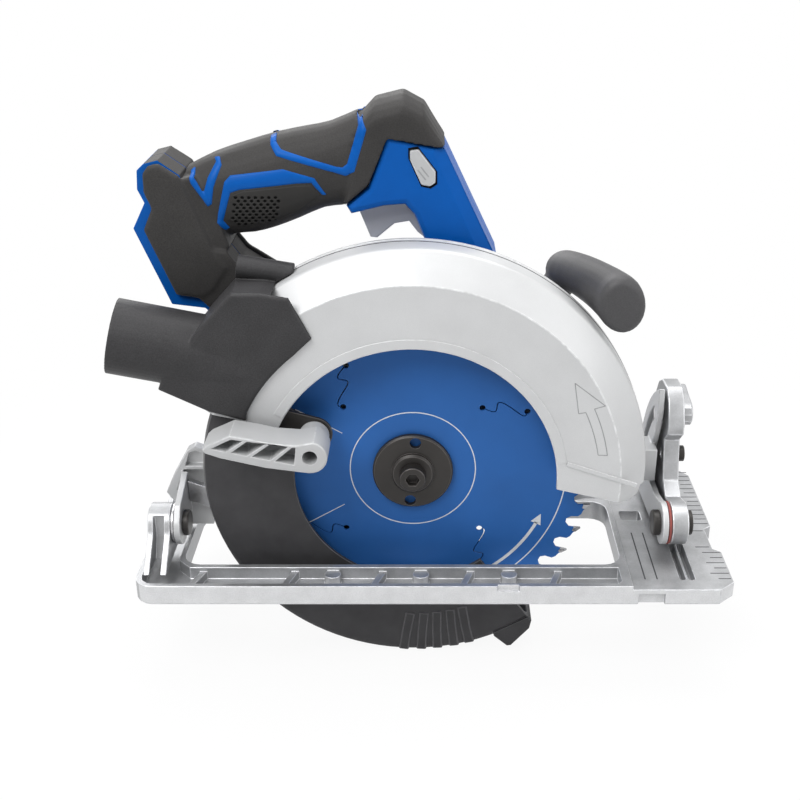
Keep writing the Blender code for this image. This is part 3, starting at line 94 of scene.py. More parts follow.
def reach(node, axis):
    """The low and the high end of a CAD node along an axis, in millimetres in the saw's own frame."""
    return [(corner[axis] - HEAD[axis]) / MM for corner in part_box(node)]


def polar(radius, angle, centre=(0.0, 0.0)):
    turn = math.radians(angle)
    return centre[0] + radius * math.cos(turn), centre[1] + radius * math.sin(turn)


# Materials

NOISE_SPAN = (0.3, 0.7)
MOTTLE_STOPS = (0.34, 0.5, 0.66)
GLOSS_SPREAD = (0.88, 1.14)
COAT_ROUGH = 0.25
# How much the edge finish is lifted and glossed: partly real wear, partly a painted highlight along the edges.
WORN_LIT_LIFT = 0.004
WORN_LIT_GLOSS = 0.9


def node_of(tree, kind, **values):
    node = tree.nodes.new(kind)
    for name, value in values.items():
        node.inputs[name.replace("_", " ")].default_value = value
    return node


def noise(tree, coords, scale, detail, roughness=0.55):
    node = node_of(tree, "ShaderNodeTexNoise", Scale=scale, Detail=detail, Roughness=roughness)
    tree.links.new(coords.outputs["Object"], node.inputs["Vector"])
    return node.outputs["Fac"]


def ramp(tree, factor, stops):
    node = tree.nodes.new("ShaderNodeValToRGB")
    node.color_ramp.elements[0].position = stops[0][0]
    node.color_ramp.elements[0].color = (*stops[0][1], 1.0)
    node.color_ramp.elements[1].position = stops[-1][0]
    node.color_ramp.elements[1].color = (*stops[-1][1], 1.0)
    for position, colour in stops[1:-1]:
        node.color_ramp.elements.new(position).color = (*colour, 1.0)
    tree.links.new(factor, node.inputs["Fac"])
    return node.outputs["Color"]


def spread(tree, factor, span, low, high):
    node = node_of(tree, "ShaderNodeMapRange", From_Min=span[0], From_Max=span[1], To_Min=low, To_Max=high)
    tree.links.new(factor, node.inputs["Value"])
    return node.outputs["Result"]


def surface(name, colour, rough, metal=0.0, mottle=0.08, patch=45.0, grain=1800.0, bump=0.12, depth=0.05,
            coat=0.0, specular=0.5, speck=0.0):
    """A finish with broad mottling, fine grain in its colour, and a bump of a depth in millimetres."""
    material = bpy.data.materials.new(name)
    material.use_nodes = True
    tree = material.node_tree
    shader = tree.nodes["Principled BSDF"]
    shader.inputs["Metallic"].default_value = metal
    shader.inputs["Specular IOR Level"].default_value = specular
    shader.inputs["Coat Weight"].default_value = coat
    shader.inputs["Coat Roughness"].default_value = COAT_ROUGH
    coords = tree.nodes.new("ShaderNodeTexCoord")
    broad = noise(tree, coords, patch, 5.0)
    fine = noise(tree, coords, grain, 3.0, 0.7)
    darker = tuple(c * (1 - mottle) for c in colour)
    lighter = tuple(min(1.0, c * (1 + mottle)) for c in colour)
    base = ramp(tree, broad, list(zip(MOTTLE_STOPS, (darker, colour, lighter))))
    if speck:
        dust = ramp(tree, fine, list(zip(NOISE_SPAN, ((1 - speck,) * 3, (1.0,) * 3))))
        mixed = tree.nodes.new("ShaderNodeMix")
        mixed.data_type = "RGBA"
        mixed.blend_type = "MULTIPLY"
        mixed.inputs[0].default_value = 1.0
        tree.links.new(base, mixed.inputs[6])
        tree.links.new(dust, mixed.inputs[7])
        base = mixed.outputs[2]
    tree.links.new(base, shader.inputs["Base Color"])
    glossy, dull = (min(1.0, rough * share) for share in GLOSS_SPREAD)
    tree.links.new(spread(tree, broad, NOISE_SPAN, glossy, dull), shader.inputs["Roughness"])
    relief = node_of(tree, "ShaderNodeBump", Strength=bump, Distance=depth * MM)
    tree.links.new(fine, relief.inputs["Height"])
    tree.links.new(relief.outputs["Normal"], shader.inputs["Normal"])
    return material


def finish_pair(name, colour, rough, wear_and_highlight, **options):
    """The finish of a slot and a lighter, patchy one for its bevelled edges: partly real rubbed wear, partly a
    painted highlight along the edges.
    """
    MAT[name] = surface(name, colour, rough, **options)
    worn_and_lit = tuple(min(1.0, c * wear_and_highlight + WORN_LIT_LIFT * wear_and_highlight) for c in colour)
    options["mottle"] = 0.16
    options["patch"] = 260.0
    WORN_LIT_EDGE[name] = surface(name + "_worn_lit_edge", worn_and_lit, rough * WORN_LIT_GLOSS, **options)


def make_materials():
    finish_pair("silver_paint", (0.61, 0.615, 0.62), 0.5, 1.14, metal=0.25, mottle=0.03, grain=5200.0,
                bump=0.10, depth=0.03, coat=0.15, speck=0.10)
    finish_pair("cast_aluminium", (0.44, 0.445, 0.455), 0.42, 1.5, metal=0.7, mottle=0.12, patch=90.0,
                grain=1500.0, bump=0.35, depth=0.08, speck=0.14)
    finish_pair("aluminium", (0.56, 0.565, 0.575), 0.36, 1.2, metal=0.85, mottle=0.06, grain=2600.0, bump=0.2)
    finish_pair("steel", (0.52, 0.52, 0.53), 0.30, 1.2, metal=0.95, mottle=0.08, grain=2400.0, bump=0.12)
    finish_pair("black_oxide", (0.034, 0.031, 0.029), 0.44, 2.2, metal=0.45, mottle=0.14, grain=2600.0,
                bump=0.16)
    # A lighter copy of the cast finish that paints light on the near faces of the base's lip.
    finish_pair("lit_cast_aluminium", (0.71, 0.715, 0.725), 0.46, 1.2, metal=0.35, mottle=0.06, patch=120.0,
                grain=1500.0, bump=0.4, depth=0.08, speck=0.16)
    # A darker metal finish that paints shade on the faces of the front upright that look back.
    finish_pair("painted_shade_steel", (0.25, 0.253, 0.262), 0.42, 1.3, metal=0.6, mottle=0.12, patch=90.0,
                grain=2000.0, bump=0.3, depth=0.06, speck=0.14)
    finish_pair("blade_blue", (0.028, 0.130, 0.41), 0.44, 1.3, specular=0.15, mottle=0.05, patch=30.0,
                grain=4200.0, bump=0.08, depth=0.03, speck=0.10)
    finish_pair("guard_grey", (0.055, 0.054, 0.057), 0.42, 1.9, metal=0.2, mottle=0.14, patch=60.0,
                grain=2400.0, bump=0.3, depth=0.06, specular=0.25, speck=0.2)
    finish_pair("blue_plastic", (0.002, 0.098, 0.42), 0.42, 1.22, mottle=0.05, grain=3400.0, bump=0.2,
                depth=0.05, specular=0.12, speck=0.08)
    finish_pair("dark_plastic", (0.051, 0.050, 0.052), 0.46, 1.5, mottle=0.10, grain=1500.0, bump=0.7,
                depth=0.12, specular=0.18, speck=0.34)
    finish_pair("soft_grip", (0.051, 0.049, 0.048), 0.55, 1.4, mottle=0.10, grain=1700.0, bump=0.6,
                depth=0.10, specular=0.14, speck=0.30)
    finish_pair("knob_plastic", (0.068, 0.067, 0.070), 0.5, 1.3, mottle=0.08, grain=1700.0, bump=0.5,
                depth=0.10, specular=0.4, speck=0.26)
    finish_pair("light_plastic", (0.47, 0.475, 0.48), 0.46, 1.15, mottle=0.04, grain=2600.0, bump=0.18)
    finish_pair("mid_plastic", (0.46, 0.47, 0.52), 0.46, 1.25, mottle=0.05, grain=2600.0, bump=0.2)
    finish_pair("red_fibre", (0.26, 0.065, 0.055), 0.72, 1.25, mottle=0.2, patch=420.0, grain=2600.0,
                bump=0.4)
    finish_pair("copper", (0.50, 0.22, 0.10), 0.34, 1.2, metal=0.95, mottle=0.12, patch=300.0, bump=0.2)
    finish_pair("carbide", (0.42, 0.42, 0.43), 0.28, 1.2, metal=0.9, mottle=0.12, patch=500.0, bump=0.15)
    finish_pair("mark_white", (0.66, 0.68, 0.70), 0.5, 1.0, mottle=0.06, patch=200.0, grain=3600.0, bump=0.1)
    # A dark finish for printed marks and the guard's seam, and for painted shade in the deck's grooves.
    finish_pair("dark_print_and_shade", (0.045, 0.046, 0.05), 0.6, 1.0, mottle=0.1, patch=200.0, grain=3000.0, bump=0.1)
    finish_pair("pad_rubber", (0.036, 0.035, 0.034), 0.6, 1.2, mottle=0.07, grain=2300.0, bump=0.3,
                specular=0.14)
    # A grey for the printed bars on the lock-off button, and for painted shade along the guard arrow's embossed
    # outline.
    finish_pair("grey_print_and_shade", (0.30, 0.305, 0.31), 0.6, 1.0, mottle=0.1, patch=200.0, grain=3000.0, bump=0.1)
    # A near-black finish that paints the shade inside the pad's holes and in the gap around the lock-off button.
    finish_pair("painted_recess_shade", (0.006, 0.006, 0.006), 0.8, 1.0, mottle=0.12, patch=200.0, grain=2300.0,
                bump=0.3, specular=0.05)


# Meshes

SAME_POINT = 2e-6
FLAT_ANGLE = 0.4
WELD = 0.06
SHARP_ANGLE = 32.0
NORMAL_WEIGHT = 60


def piece(name, bm, slot, body, smooth=True):
    """Makes a bmesh in metres an object that rides on a body, with the finish of a slot and its lighter edge
    finish, which paints both wear and highlight.
    """
    mesh = bpy.data.meshes.new(name)
    bm.to_mesh(mesh)
    bm.free()
    mesh.materials.append(MAT[slot])
    mesh.materials.append(WORN_LIT_EDGE[slot])
    for polygon in mesh.polygons:
        polygon.use_smooth = smooth
    obj = bpy.data.objects.new(name, mesh)
    bpy.context.scene.collection.objects.link(obj)
    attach(obj, body)
    return obj


def soften(obj, width, angle=SHARP_ANGLE, segments=2):
    """Rounds the sharp edges by a width in millimetres and keeps the flat faces flat."""
    if width:
        bevel = obj.modifiers.new("edges", "BEVEL")
        bevel.width = width * MM
        bevel.segments = segments
        bevel.limit_method = "ANGLE"
        bevel.angle_limit = math.radians(angle)
        bevel.use_clamp_overlap = False
        # The bevel faces take the lighter edge finish: partly wear, partly a painted highlight.
        bevel.material = 1
    normals = obj.modifiers.new("normals", "WEIGHTED_NORMAL")
    normals.weight = NORMAL_WEIGHT
    return obj


def node_mesh(node):
    """A welded copy of a CAD node's mesh with its flat faces joined up, and split where they are concave."""
    bm = bmesh.new()
    bm.from_mesh(frame["nodes"][node].data)
    bmesh.ops.remove_doubles(bm, verts=bm.verts, dist=SAME_POINT)
    bmesh.ops.dissolve_limit(bm, angle_limit=math.radians(FLAT_ANGLE), verts=bm.verts, edges=bm.edges)
    bmesh.ops.remove_doubles(bm, verts=bm.verts, dist=WELD * MM)
    bmesh.ops.connect_verts_concave(bm, faces=bm.faces)
    return bm


# A point on the near face of the handle's front pillar where its slanted facet starts, and the direction
# in which that facet looks
PILLAR_EDGE = (8.2, 18.0, 157.2)
PILLAR_FACET = (0.383, -0.906, 0.179)


def chamfer(bm, point, outward):
    """Cuts off all that lies outside a plane through a point, and closes the cut."""
    found = bmesh.ops.bisect_plane(bm, geom=bm.verts[:] + bm.edges[:] + bm.faces[:], plane_co=spot(*point),
                                   plane_no=outward, clear_outer=True)
    rim = [e for e in found["geom_cut"] if isinstance(e, bmesh.types.BMEdge)]
    bmesh.ops.holes_fill(bm, edges=rim, sides=0)
    closed_mesh(bm)


def skin(node, slot, width, angle=SHARP_ANGLE):
    """A detailed stand-in for a CAD node, with softened edges in a lighter finish that paints both wear and
    highlight.
    """
    bm = node_mesh(node)
    if node == "handle_shell_right":
        chamfer(bm, PILLAR_EDGE, PILLAR_FACET)
    obj = piece(f"{node}.skin", bm, slot, BODY_OF[node])
    soften(obj, width, angle)
    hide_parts(node)
    return obj


def moulded(name, nodes, slot, voxel, rounds, grow=0.0, extra=()):
    """One stand-in for moulded CAD nodes, with all their edges run smoothly into each other."""
    bm = bmesh.new()
    for node in nodes:
        bm.from_mesh(frame["nodes"][node].data)
    bmesh.ops.remove_doubles(bm, verts=bm.verts, dist=SAME_POINT)
    for outline, low, high in extra:
        plate(bm, outline, low, high)
    obj = piece(name, bm, slot, BODY_OF[nodes[0]])
    if grow:
        swell = obj.modifiers.new("swell", "DISPLACE")
        swell.mid_level = 0.0
        swell.strength = grow * MM
    remesh = obj.modifiers.new("moulded", "REMESH")
    remesh.mode = "VOXEL"
    remesh.voxel_size = voxel * MM
    remesh.use_smooth_shade = True
    relax = obj.modifiers.new("relaxed", "SMOOTH")
    relax.factor = 0.5
    relax.iterations = rounds
    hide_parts(*nodes)
    return obj


def tree_of(obj):
    """A search tree over the finished surface of an object."""
    graph = bpy.context.evaluated_depsgraph_get()
    mesh = obj.evaluated_get(graph).to_mesh()
    points = [v.co.copy() for v in mesh.vertices]
    return BVHTree.FromPolygons(points, [list(p.vertices) for p in mesh.polygons])


def subdivided(outline, longest):
    """A flat filled outline, in millimetres in X and Z, cut into pieces with short edges."""
    most_rounds = 12
    bm = bmesh.new()
    bm.faces.new([bm.verts.new((x, 0.0, z)) for x, z in outline])
    bmesh.ops.triangulate(bm, faces=bm.faces)
    for _ in range(most_rounds):
        long = [e for e in bm.edges if e.calc_length() > longest]
        if not long:
            break
        bmesh.ops.subdivide_edges(bm, edges=long, cuts=1)
        bmesh.ops.triangulate(bm, faces=[f for f in bm.faces if len(f.verts) > 3])
        bmesh.ops.beautify_fill(bm, faces=bm.faces, edges=bm.edges)
    return bm


def on_side(target, side, x, z, proud):
    """The point of a surface that is seen at X and Z from one side, moved out by a height in millimetres."""
    outside, inside = HANDLE_MID + 90 * side, HANDLE_MID + 12 * side
    hit, normal, *_ = target.ray_cast(spot(x, outside, z), Vector((0, -side, 0)))
    if hit is None:
        hit, normal, *_ = target.find_nearest(spot(x, inside, z))
    if normal.y * side < 0:
        normal = -normal
    return hit + normal * proud * MM


def closed_mesh(bm):
    bmesh.ops.recalc_face_normals(bm, faces=bm.faces)
    return bm


def faced(bm, side):
    """Turns the faces of a sheet so that they look out on one side of the handle."""
    closed_mesh(bm)
    if sum(f.normal.y * f.calc_area() for f in bm.faces) * side < 0:
        bmesh.ops.reverse_faces(bm, faces=bm.faces)
    return bm


# A bead's section: the share of its width, and the share of its height there
BEAD = ((0.0, -0.5), (0.03, 0.25), (0.14, 1.0), (0.5, 1.08), (0.86, 1.0), (0.97, 0.25), (1.0, -0.5))
BEAD_STEP = 0.9


def bead(name, pairs, target, side, height=0.55):
    """A raised blue band that follows a surface between two edges, given as pairs of points in X and Z."""
    rows = []
    for (a, b), (c, d) in zip(pairs, pairs[1:]):
        steps = max(2, round(max(math.dist(a, c), math.dist(b, d)) / BEAD_STEP))
        for k in range(steps + (c == pairs[-1][0])):
            share = k / steps
            rows.append((Vector(a).lerp(Vector(c), share), Vector(b).lerp(Vector(d), share)))
    bm = bmesh.new()
    grid = []
    for outer, inner in rows:
        line = []
        for share, rise in BEAD:
            x, z = outer.lerp(inner, share)
            line.append(bm.verts.new(on_side(target, side, x, z, rise * height)))
        grid.append(line)
    for here, after in zip(grid, grid[1:]):
        for k in range(len(here) - 1):
            bm.faces.new((here[k], here[k + 1], after[k + 1], after[k]))
    return piece(name, faced(bm, side), "blue_plastic", "saw_body")


PAD_RISE = 0.5
HOLE_DEPTH = 0.44
HOLE_RIM = 0.82
HOLE_SLOPE = 0.25
HOLE_SHADE_RADIUS = 0.66
HOLE_STRETCH = 1.25


def dotted_pad(name, outline, holes, target, side):
    """A soft pad on a surface with rows of small blind holes, whose floors are painted near-black as painted
    shade.
    """
    bm = subdivided(outline, 0.5)

    def hole_at(x, z):
        return min(math.hypot((x - a) / HOLE_STRETCH, z - b) for a, b in holes)

    # Faces near a hole's centre take the near-black finish: painted shade inside the hole.
    shaded_faces = [hole_at(*f.calc_center_median().xz) < HOLE_SHADE_RADIUS for f in bm.faces]
    for vert in bm.verts:
        x, z = vert.co.x, vert.co.z
        sink = min(1.0, max(0.0, (HOLE_RIM - hole_at(x, z)) / HOLE_SLOPE))
        edge = 0.0 if vert.is_boundary else PAD_RISE
        vert.co = on_side(target, side, x, z, edge - HOLE_DEPTH * sink)
    obj = piece(name, faced(bm, side), "pad_rubber", "saw_body")
    obj.data.materials.append(MAT["painted_recess_shade"])
    for polygon, inside in zip(obj.data.polygons, shaded_faces):
        if inside:
            polygon.material_index = 2
    return obj


def plate(bm, outline, low, high):
    """Adds an outline in X and Z, in millimetres, pulled along Y, to a bmesh in metres."""
    near = [bm.verts.new(spot(x, low, z)) for x, z in outline]
    far = [bm.verts.new(spot(x, high, z)) for x, z in outline]
    bm.faces.new(near)
    bm.faces.new(list(reversed(far)))
    for i in range(len(outline)):
        j = (i + 1) % len(outline)
        bm.faces.new((near[j], near[i], far[i], far[j]))


def strip(bm, points, width, low, high):
    """Adds a line of constant width through points in X and Z, pulled along Y."""
    line = [Vector(p) for p in points]
    left = []
    right = []
    for i, point in enumerate(line):
        before = line[i - 1] if i else point
        after = line[i + 1] if i + 1 < len(line) else point
        ahead = (after - before).normalized()
        across = Vector((-ahead.y, ahead.x)) * width / 2
        left.append(tuple(point + across))
        right.append(tuple(point - across))
    plate(bm, left + right[::-1], low, high)


def arc_points(radius, start, stop, steps, centre=(0.0, 0.0)):
    return [polar(radius, start + (stop - start) * i / steps, centre) for i in range(steps + 1)]


def ring_band(bm, inner, outer, start, stop, steps, low, high):
    """Adds a flat arc band to a bmesh, as short solid pieces that share their ends."""
    sections = []
    for i in range(steps + 1):
        angle = start + (stop - start) * i / steps
        section = []
        for radius, y in ((inner, low), (outer, low), (outer, high), (inner, high)):
            x, z = polar(radius, angle)
            section.append(bm.verts.new(spot(x, y, z)))
        sections.append(section)
    for here, after in zip(sections, sections[1:]):
        for j in range(4):
            k = (j + 1) % 4
            bm.faces.new((here[j], here[k], after[k], after[j]))
    bm.faces.new(sections[0])
    bm.faces.new(sections[-1][::-1])


def block(bm, low, high):
    """Adds a box between two corners, in millimetres, to a bmesh in metres."""
    corners = [(a, b, c) for a in (low[0], high[0]) for b in (low[1], high[1]) for c in (low[2], high[2])]
    verts = [bm.verts.new(spot(*corner)) for corner in corners]
    for face in ((0, 1, 3, 2), (4, 6, 7, 5), (0, 4, 5, 1), (2, 3, 7, 6), (0, 2, 6, 4), (1, 5, 7, 3)):
        bm.faces.new([verts[i] for i in face])


# A screw's rings from the rim of its head to the floor of its recess: the share of its radius, the share of
# its height and the size of the lobes
SCREW_RINGS = ((1.0, 0.0, 0.0), (1.0, 0.42, 0.0), (0.86, 0.8, 0.0), (0.62, 1.0, 0.0),
               (0.46, 1.0, 0.16), (0.42, 0.3, 0.16))
SCREW_STEPS = 36
SCREW_HEIGHT = 0.62


def screw(name, at, radius):
    """A pan-head screw with a six-lobed recess, its head standing out along Y from a point."""
    height = SCREW_HEIGHT * radius
    bm = bmesh.new()
    rings = []
    for share, rise, lobes in SCREW_RINGS:
        ring = []
        for k in range(SCREW_STEPS):
            turn = 2 * math.pi * k / SCREW_STEPS
            out = radius * share * (1 + lobes * math.cos(6 * turn))
            ring.append(bm.verts.new((out * math.cos(turn), out * math.sin(turn), rise * height)))
        rings.append(ring)
    for here, after in zip(rings, rings[1:]):
        for k in range(SCREW_STEPS):
            j = (k + 1) % SCREW_STEPS
            bm.faces.new((here[k], here[j], after[j], after[k]))
    bm.faces.new(rings[-1])
    bm.faces.new(rings[0][::-1])
    upright = Vector((0, 1, 0)).to_track_quat("Z", "Y").to_matrix().to_4x4()
    move = Matrix.Translation(spot(*at)) @ upright @ Matrix.Scale(MM, 4)
    bmesh.ops.transform(bm, matrix=move, verts=bm.verts)
    return soften(piece(name, closed_mesh(bm), "black_oxide", "saw_body"), 0.12)


# Skins of the CAD nodes: their finish and the width of their softened edges

SKINS = {
    "base_shoe": ("cast_aluminium", 0.35),
    "front_upright": ("cast_aluminium", 0.7),
    "rear_upright": ("cast_aluminium", 0.6),
    "front_bracket": ("silver_paint", 0.5),
    "rear_bracket": ("silver_paint", 0.5),
    "depth_arc": ("steel", 0.35),
    "depth_lock_lever": ("dark_plastic", 0.3),
    "bevel_lock_lever": ("cast_aluminium", 0.3),
    "front_pivot_bolt": ("black_oxide", 0.25),
    "front_pivot_nut": ("black_oxide", 0.3),
    "rear_pivot_bolt": ("black_oxide", 0.25),
    "bevel_stop_screw": ("black_oxide", 0.3),
    "front_friction_washer": ("red_fibre", 0.2),
    "rear_friction_washer": ("steel", 0.2),
    "upper_guard": ("silver_paint", 0.5),
    "guard_backplate": ("silver_paint", 0.4),
    "gear_housing": ("silver_paint", 0.9),
    "motor_bulkhead": ("aluminium", 0.4),
    "motor_housing": ("blue_plastic", 0.6),
    "motor_end_cap": ("dark_plastic", 0.5),
    "handle_shell_right": ("blue_plastic", 0.36),
    "handle_shell_left": ("blue_plastic", 0.36),
    "trigger": ("mid_plastic", 0.12),
    "lock_off_button": ("light_plastic", 0.6),
    "spindle_lock_button": ("dark_plastic", 0.3),
    "lower_guard": ("guard_grey", 0.3),
    "lever_arm": ("black_oxide", 0.3),
    "guard_lever": ("light_plastic", 0.4),
    "lever_screw": ("black_oxide", 0.3),
    "outer_flange": ("black_oxide", 0.15),
    "blade_bolt": ("black_oxide", 0.25),
    "chute_screw": ("steel", 0.4),
    "terminal_block": ("dark_plastic", 0.25),
}
SHELL_ANGLE = 18.0
# CAD nodes that show as they are, by their finish
KEPT = {
    "steel": ("inner_flange", "spindle", "output_gear", "lock_disc", "motor_shaft", "spindle_bearing",
              "spindle_rear_bearing", "motor_bearing", "motor_rear_bearing", "guard_retaining_ring",
              "guard_spring", "stator", "rotor_core", "depth_pin", "depth_lock_bolt", "bevel_lock_bolt"),
    "copper": ("stator_winding",),
    "dark_plastic": ("cooling_fan",),
}


def recolour(obj, finish, chosen):
    """Gives another finish to the faces of a skin that a rule picks by their place and direction."""
    first = len(obj.data.materials)
    obj.data.materials.append(MAT[finish])
    for polygon in obj.data.polygons:
        if chosen((polygon.center - HEAD) / MM, polygon.normal):
            polygon.material_index = first


def around_dock(place, normal):
    """Picks the faces of a handle shell that look up or forward around the dock."""
    return place.x < -34 and (normal.x > 0.3 or normal.z > 0.8)


def near_lip_painted_light(place, normal):
    """Picks the near faces of the base's lip, which take a lighter copy of the cast finish as painted light."""
    return normal.y < -0.6 and place.y < -24


# Picks the faces that look back, which take a darker metal finish as painted shade.
def looks_back_painted_shade(place, normal):
    return normal.x < -0.5


def dress_nodes():
    for node, (slot, width) in SKINS.items():
        if node.startswith("handle_shell"):
            obj = skin(node, slot, width, SHELL_ANGLE)
            recolour(obj, "soft_grip", around_dock)
            obj.modifiers["edges"].material = -1
        else:
            obj = skin(node, slot, width)
        if node == "base_shoe":
            recolour(obj, "lit_cast_aluminium", near_lip_painted_light)
        if node == "front_upright":
            recolour(obj, "painted_shade_steel", looks_back_painted_shade)
    for slot, nodes in KEPT.items():
        for node in nodes:
            materials = frame["nodes"][node].data.materials
            materials.clear()
            materials.append(MAT[slot])


# The handle: bands as pairs of points on their two edges, and outlines, in X and Z

FRONT_BAND = (
    ((-66.2, 160.8), (-63.2, 161.4)),
    ((-65.4, 156.2), (-62.6, 157.6)),
    ((-62.4, 151.9), (-60.1, 154.8)),
    ((-35.9, 144.9), (-34.6, 147.7)),
    ((-30.4, 143.2), (-31.8, 147.4)),
    ((-26.2, 145.4), (-29.6, 149.2)),
    ((-20.2, 164.6), (-24.2, 166.2)),
    ((-22.9, 170.6), (-25.6, 170.6)),
)
REAR_BAND = (
    ((-103.6, 143.4), (-101.4, 145.2)),
    ((-102.6, 139.4), (-101.0, 142.2)),
    ((-95.4, 128.6), (-97.8, 136.2)),
    ((-93.4, 129.8), (-96.8, 136.0)),
    ((-92.1, 137.7), (-95.0, 141.8)),
    ((-88.2, 147.3), (-91.2, 148.5)),
    ((-89.4, 150.2), (-92.2, 149.6)),
)
SIDE_PLATE = (
    ((-39.9, 134.2), (-42.2, 134.4)),
    ((-45.0, 142.3), (-46.5, 139.9)),
    ((-59.6, 146.5), (-53.5, 139.6)),
    ((-84.2, 143.4), (-79.8, 136.7)),
    ((-87.0, 140.4), (-84.3, 135.3)),
    ((-91.2, 124.4), (-87.8, 124.6)),
    ((-91.8, 120.7), (-88.8, 121.8)),
    ((-88.9, 116.6), (-86.5, 118.0)),
)
GRIP_PAD = ((-83.4, 134.4), (-78.6, 136.2), (-53.0, 138.8), (-46.6, 139.0), (-42.9, 133.9), (-52.8, 126.0),
            (-65.1, 120.8), (-81.8, 118.6), (-86.4, 122.2))
CHEEK = ((-94.4, 108.2), (-87.8, 106.9), (-82.8, 100.2), (-77.0, 96.4), (-77.0, 68.1), (-96.0, 76.0),
         (-104.0, 84.4), (-104.0, 100.0))
TOE = ((-79.0, 97.7), (-58.0, 84.0), (-72.0, 66.0), (-79.0, 69.0))
WEB = ((-110.0, 141.0), (-101.0, 143.0), (-90.0, 118.0), (-86.5, 109.0), (-89.4, 105.0), (-95.4, 106.4))
CHEEK_SETBACK = 0.3
WEB_SETBACK = 2.2
ARC_ROOM = 0.9
TOE_REACH = 4.0


def grip_holes():
    """The centres of the pad's blind holes: nine staggered rows."""
    pitch = 3.1
    holes = []
    for row in range(9):
        z = 133.2 - 1.68 * row
        first = -82.0 - 0.36 * row + (pitch / 2 if row % 2 else 0.0)
        for column in range(7):
            x = first + pitch * column
            if z > 119.6 - 0.12 * (x + 80) or x < -74:
                holes.append((x, z))
    return holes


def dress_handle():
    """The rubber in one piece with its fill between the dock's covers, the front handle, bands and pads."""
    near = reach("dock_cover_right", Y)
    far = reach("dock_cover_left", Y)
    arc = reach("depth_arc", Y)[1]
    extra = (
        (CHEEK, near[0] + CHEEK_SETBACK, near[1]),
        (CHEEK, far[0], far[1] - CHEEK_SETBACK),
        (TOE, arc + ARC_ROOM, arc + TOE_REACH),
        (TOE, far[0], far[1] - CHEEK_SETBACK),
        (WEB, near[0] + WEB_SETBACK, far[1] - WEB_SETBACK),
    )
    nodes = ("grip_overmould", "nose_overmould", "dock_cover_right", "dock_cover_left")
    rubber = moulded("rubber.skin", nodes, "soft_grip", 0.75, 9, 0.22, extra)
    moulded("front_handle.skin", ("front_handle",), "knob_plastic", 0.8, 8)
    target = tree_of(rubber)
    holes = grip_holes()
    for side, word in ((-1, "right"), (1, "left")):
        bead(f"front_band_{word}", FRONT_BAND, target, side)
        bead(f"rear_band_{word}", REAR_BAND, target, side)
        bead(f"side_plate_{word}", SIDE_PLATE, target, side, 0.45)
        dotted_pad(f"grip_pad_{word}", GRIP_PAD, holes, target, side)


# The blade: the radius and angle of a slot's two ends, and a tip's corners in tooth pitches and in depth
# below the rim

SLOT_ENDS = ((48.0, 44.6), (64.5, 29.5))
SLOT_HOLE = 1.5
SLOT_WIDTH = 0.55
SLOT_SWAY = 3.6
SLOT_STEPS = 24
SLOT_CUT = 3.0
TIP = ((0.015, -0.05), (-0.055, 3.4), (-0.2, 3.4), (-0.2, 1.65))
TIP_HALF = 0.95


def slot_tool():
    """Four wavy expansion slots, each between two round holes, as one solid to cut with."""
    (inner, start), (outer, stop) = SLOT_ENDS
    cutters = bmesh.new()
    for k in range(4):
        turn = 90 * k
        for radius, angle in SLOT_ENDS:
            hole = arc_points(SLOT_HOLE, 0, 345, 23, polar(radius, angle + turn))
            plate(cutters, hole, -SLOT_CUT, SLOT_CUT)
        line = []
        for i in range(SLOT_STEPS + 1):
            share = i / SLOT_STEPS
            sway = SLOT_SWAY * math.sin(3 * math.pi * share) * (1 if k % 2 else -1)
            line.append(polar(inner + (outer - inner) * share, start + (stop - start) * share + turn + sway))
        strip(cutters, line, SLOT_WIDTH, -SLOT_CUT, SLOT_CUT)
    mesh = bpy.data.meshes.new("slot_tool")
    closed_mesh(cutters).to_mesh(mesh)
    cutters.free()
    tool = bpy.data.objects.new("slot_tool", mesh)
    bpy.context.scene.collection.objects.link(tool)
    return tool


def cut_slots(blade):
    tool = slot_tool()
    slots = blade.modifiers.new("slots", "BOOLEAN")
    slots.operation = "DIFFERENCE"
    slots.solver = "EXACT"
    slots.use_self = True
    slots.object = tool
    blade.modifiers.remove(blade.modifiers["normals"])
    graph = bpy.context.evaluated_depsgraph_get()
    cut = bpy.data.meshes.new_from_object(blade.evaluated_get(graph))
    blade.modifiers.clear()
    blade.data = cut
    bpy.data.objects.remove(tool)
    for polygon in blade.data.polygons:
        polygon.use_smooth = False


def dress_blade():
    """The blade with its expansion slots, brazed tips and plain printed marks."""
    cut_slots(skin("blade", "blade_blue", 0.0))
    tips = bmesh.new()
    pitch = 360 / TEETH
    for k in range(TEETH):
        outline = [polar(BLADE_RADIUS - depth, FIRST_TOOTH + (k + share) * pitch) for share, depth in TIP]
        plate(tips, outline, -TIP_HALF, TIP_HALF)
    soften(piece("blade_tips", closed_mesh(tips), "carbide", "blade_group", False), 0.12)
    marks = bmesh.new()
    low, high = BLADE_FACE - 0.05, BLADE_FACE + 0.2
    ring_band(marks, 76.6, 77.2, 0, 360, 180, low, high)
    ring_band(marks, 31.0, 31.5, 0, 360, 90, low, high)
    ring_band(marks, 69.0, 70.6, -58, -26, 24, low, high)
    head = [polar(72.6, -26.5), polar(67.0, -26.5), polar(69.8, -21.5)]
    plate(marks, head, low, high)
    for angle in (150, 210):
        ring_band(marks, 40.0, 66.0, angle - 0.25, angle + 0.25, 1, low, high)
    piece("blade_marks", closed_mesh(marks), "mark_white", "blade_group", False)


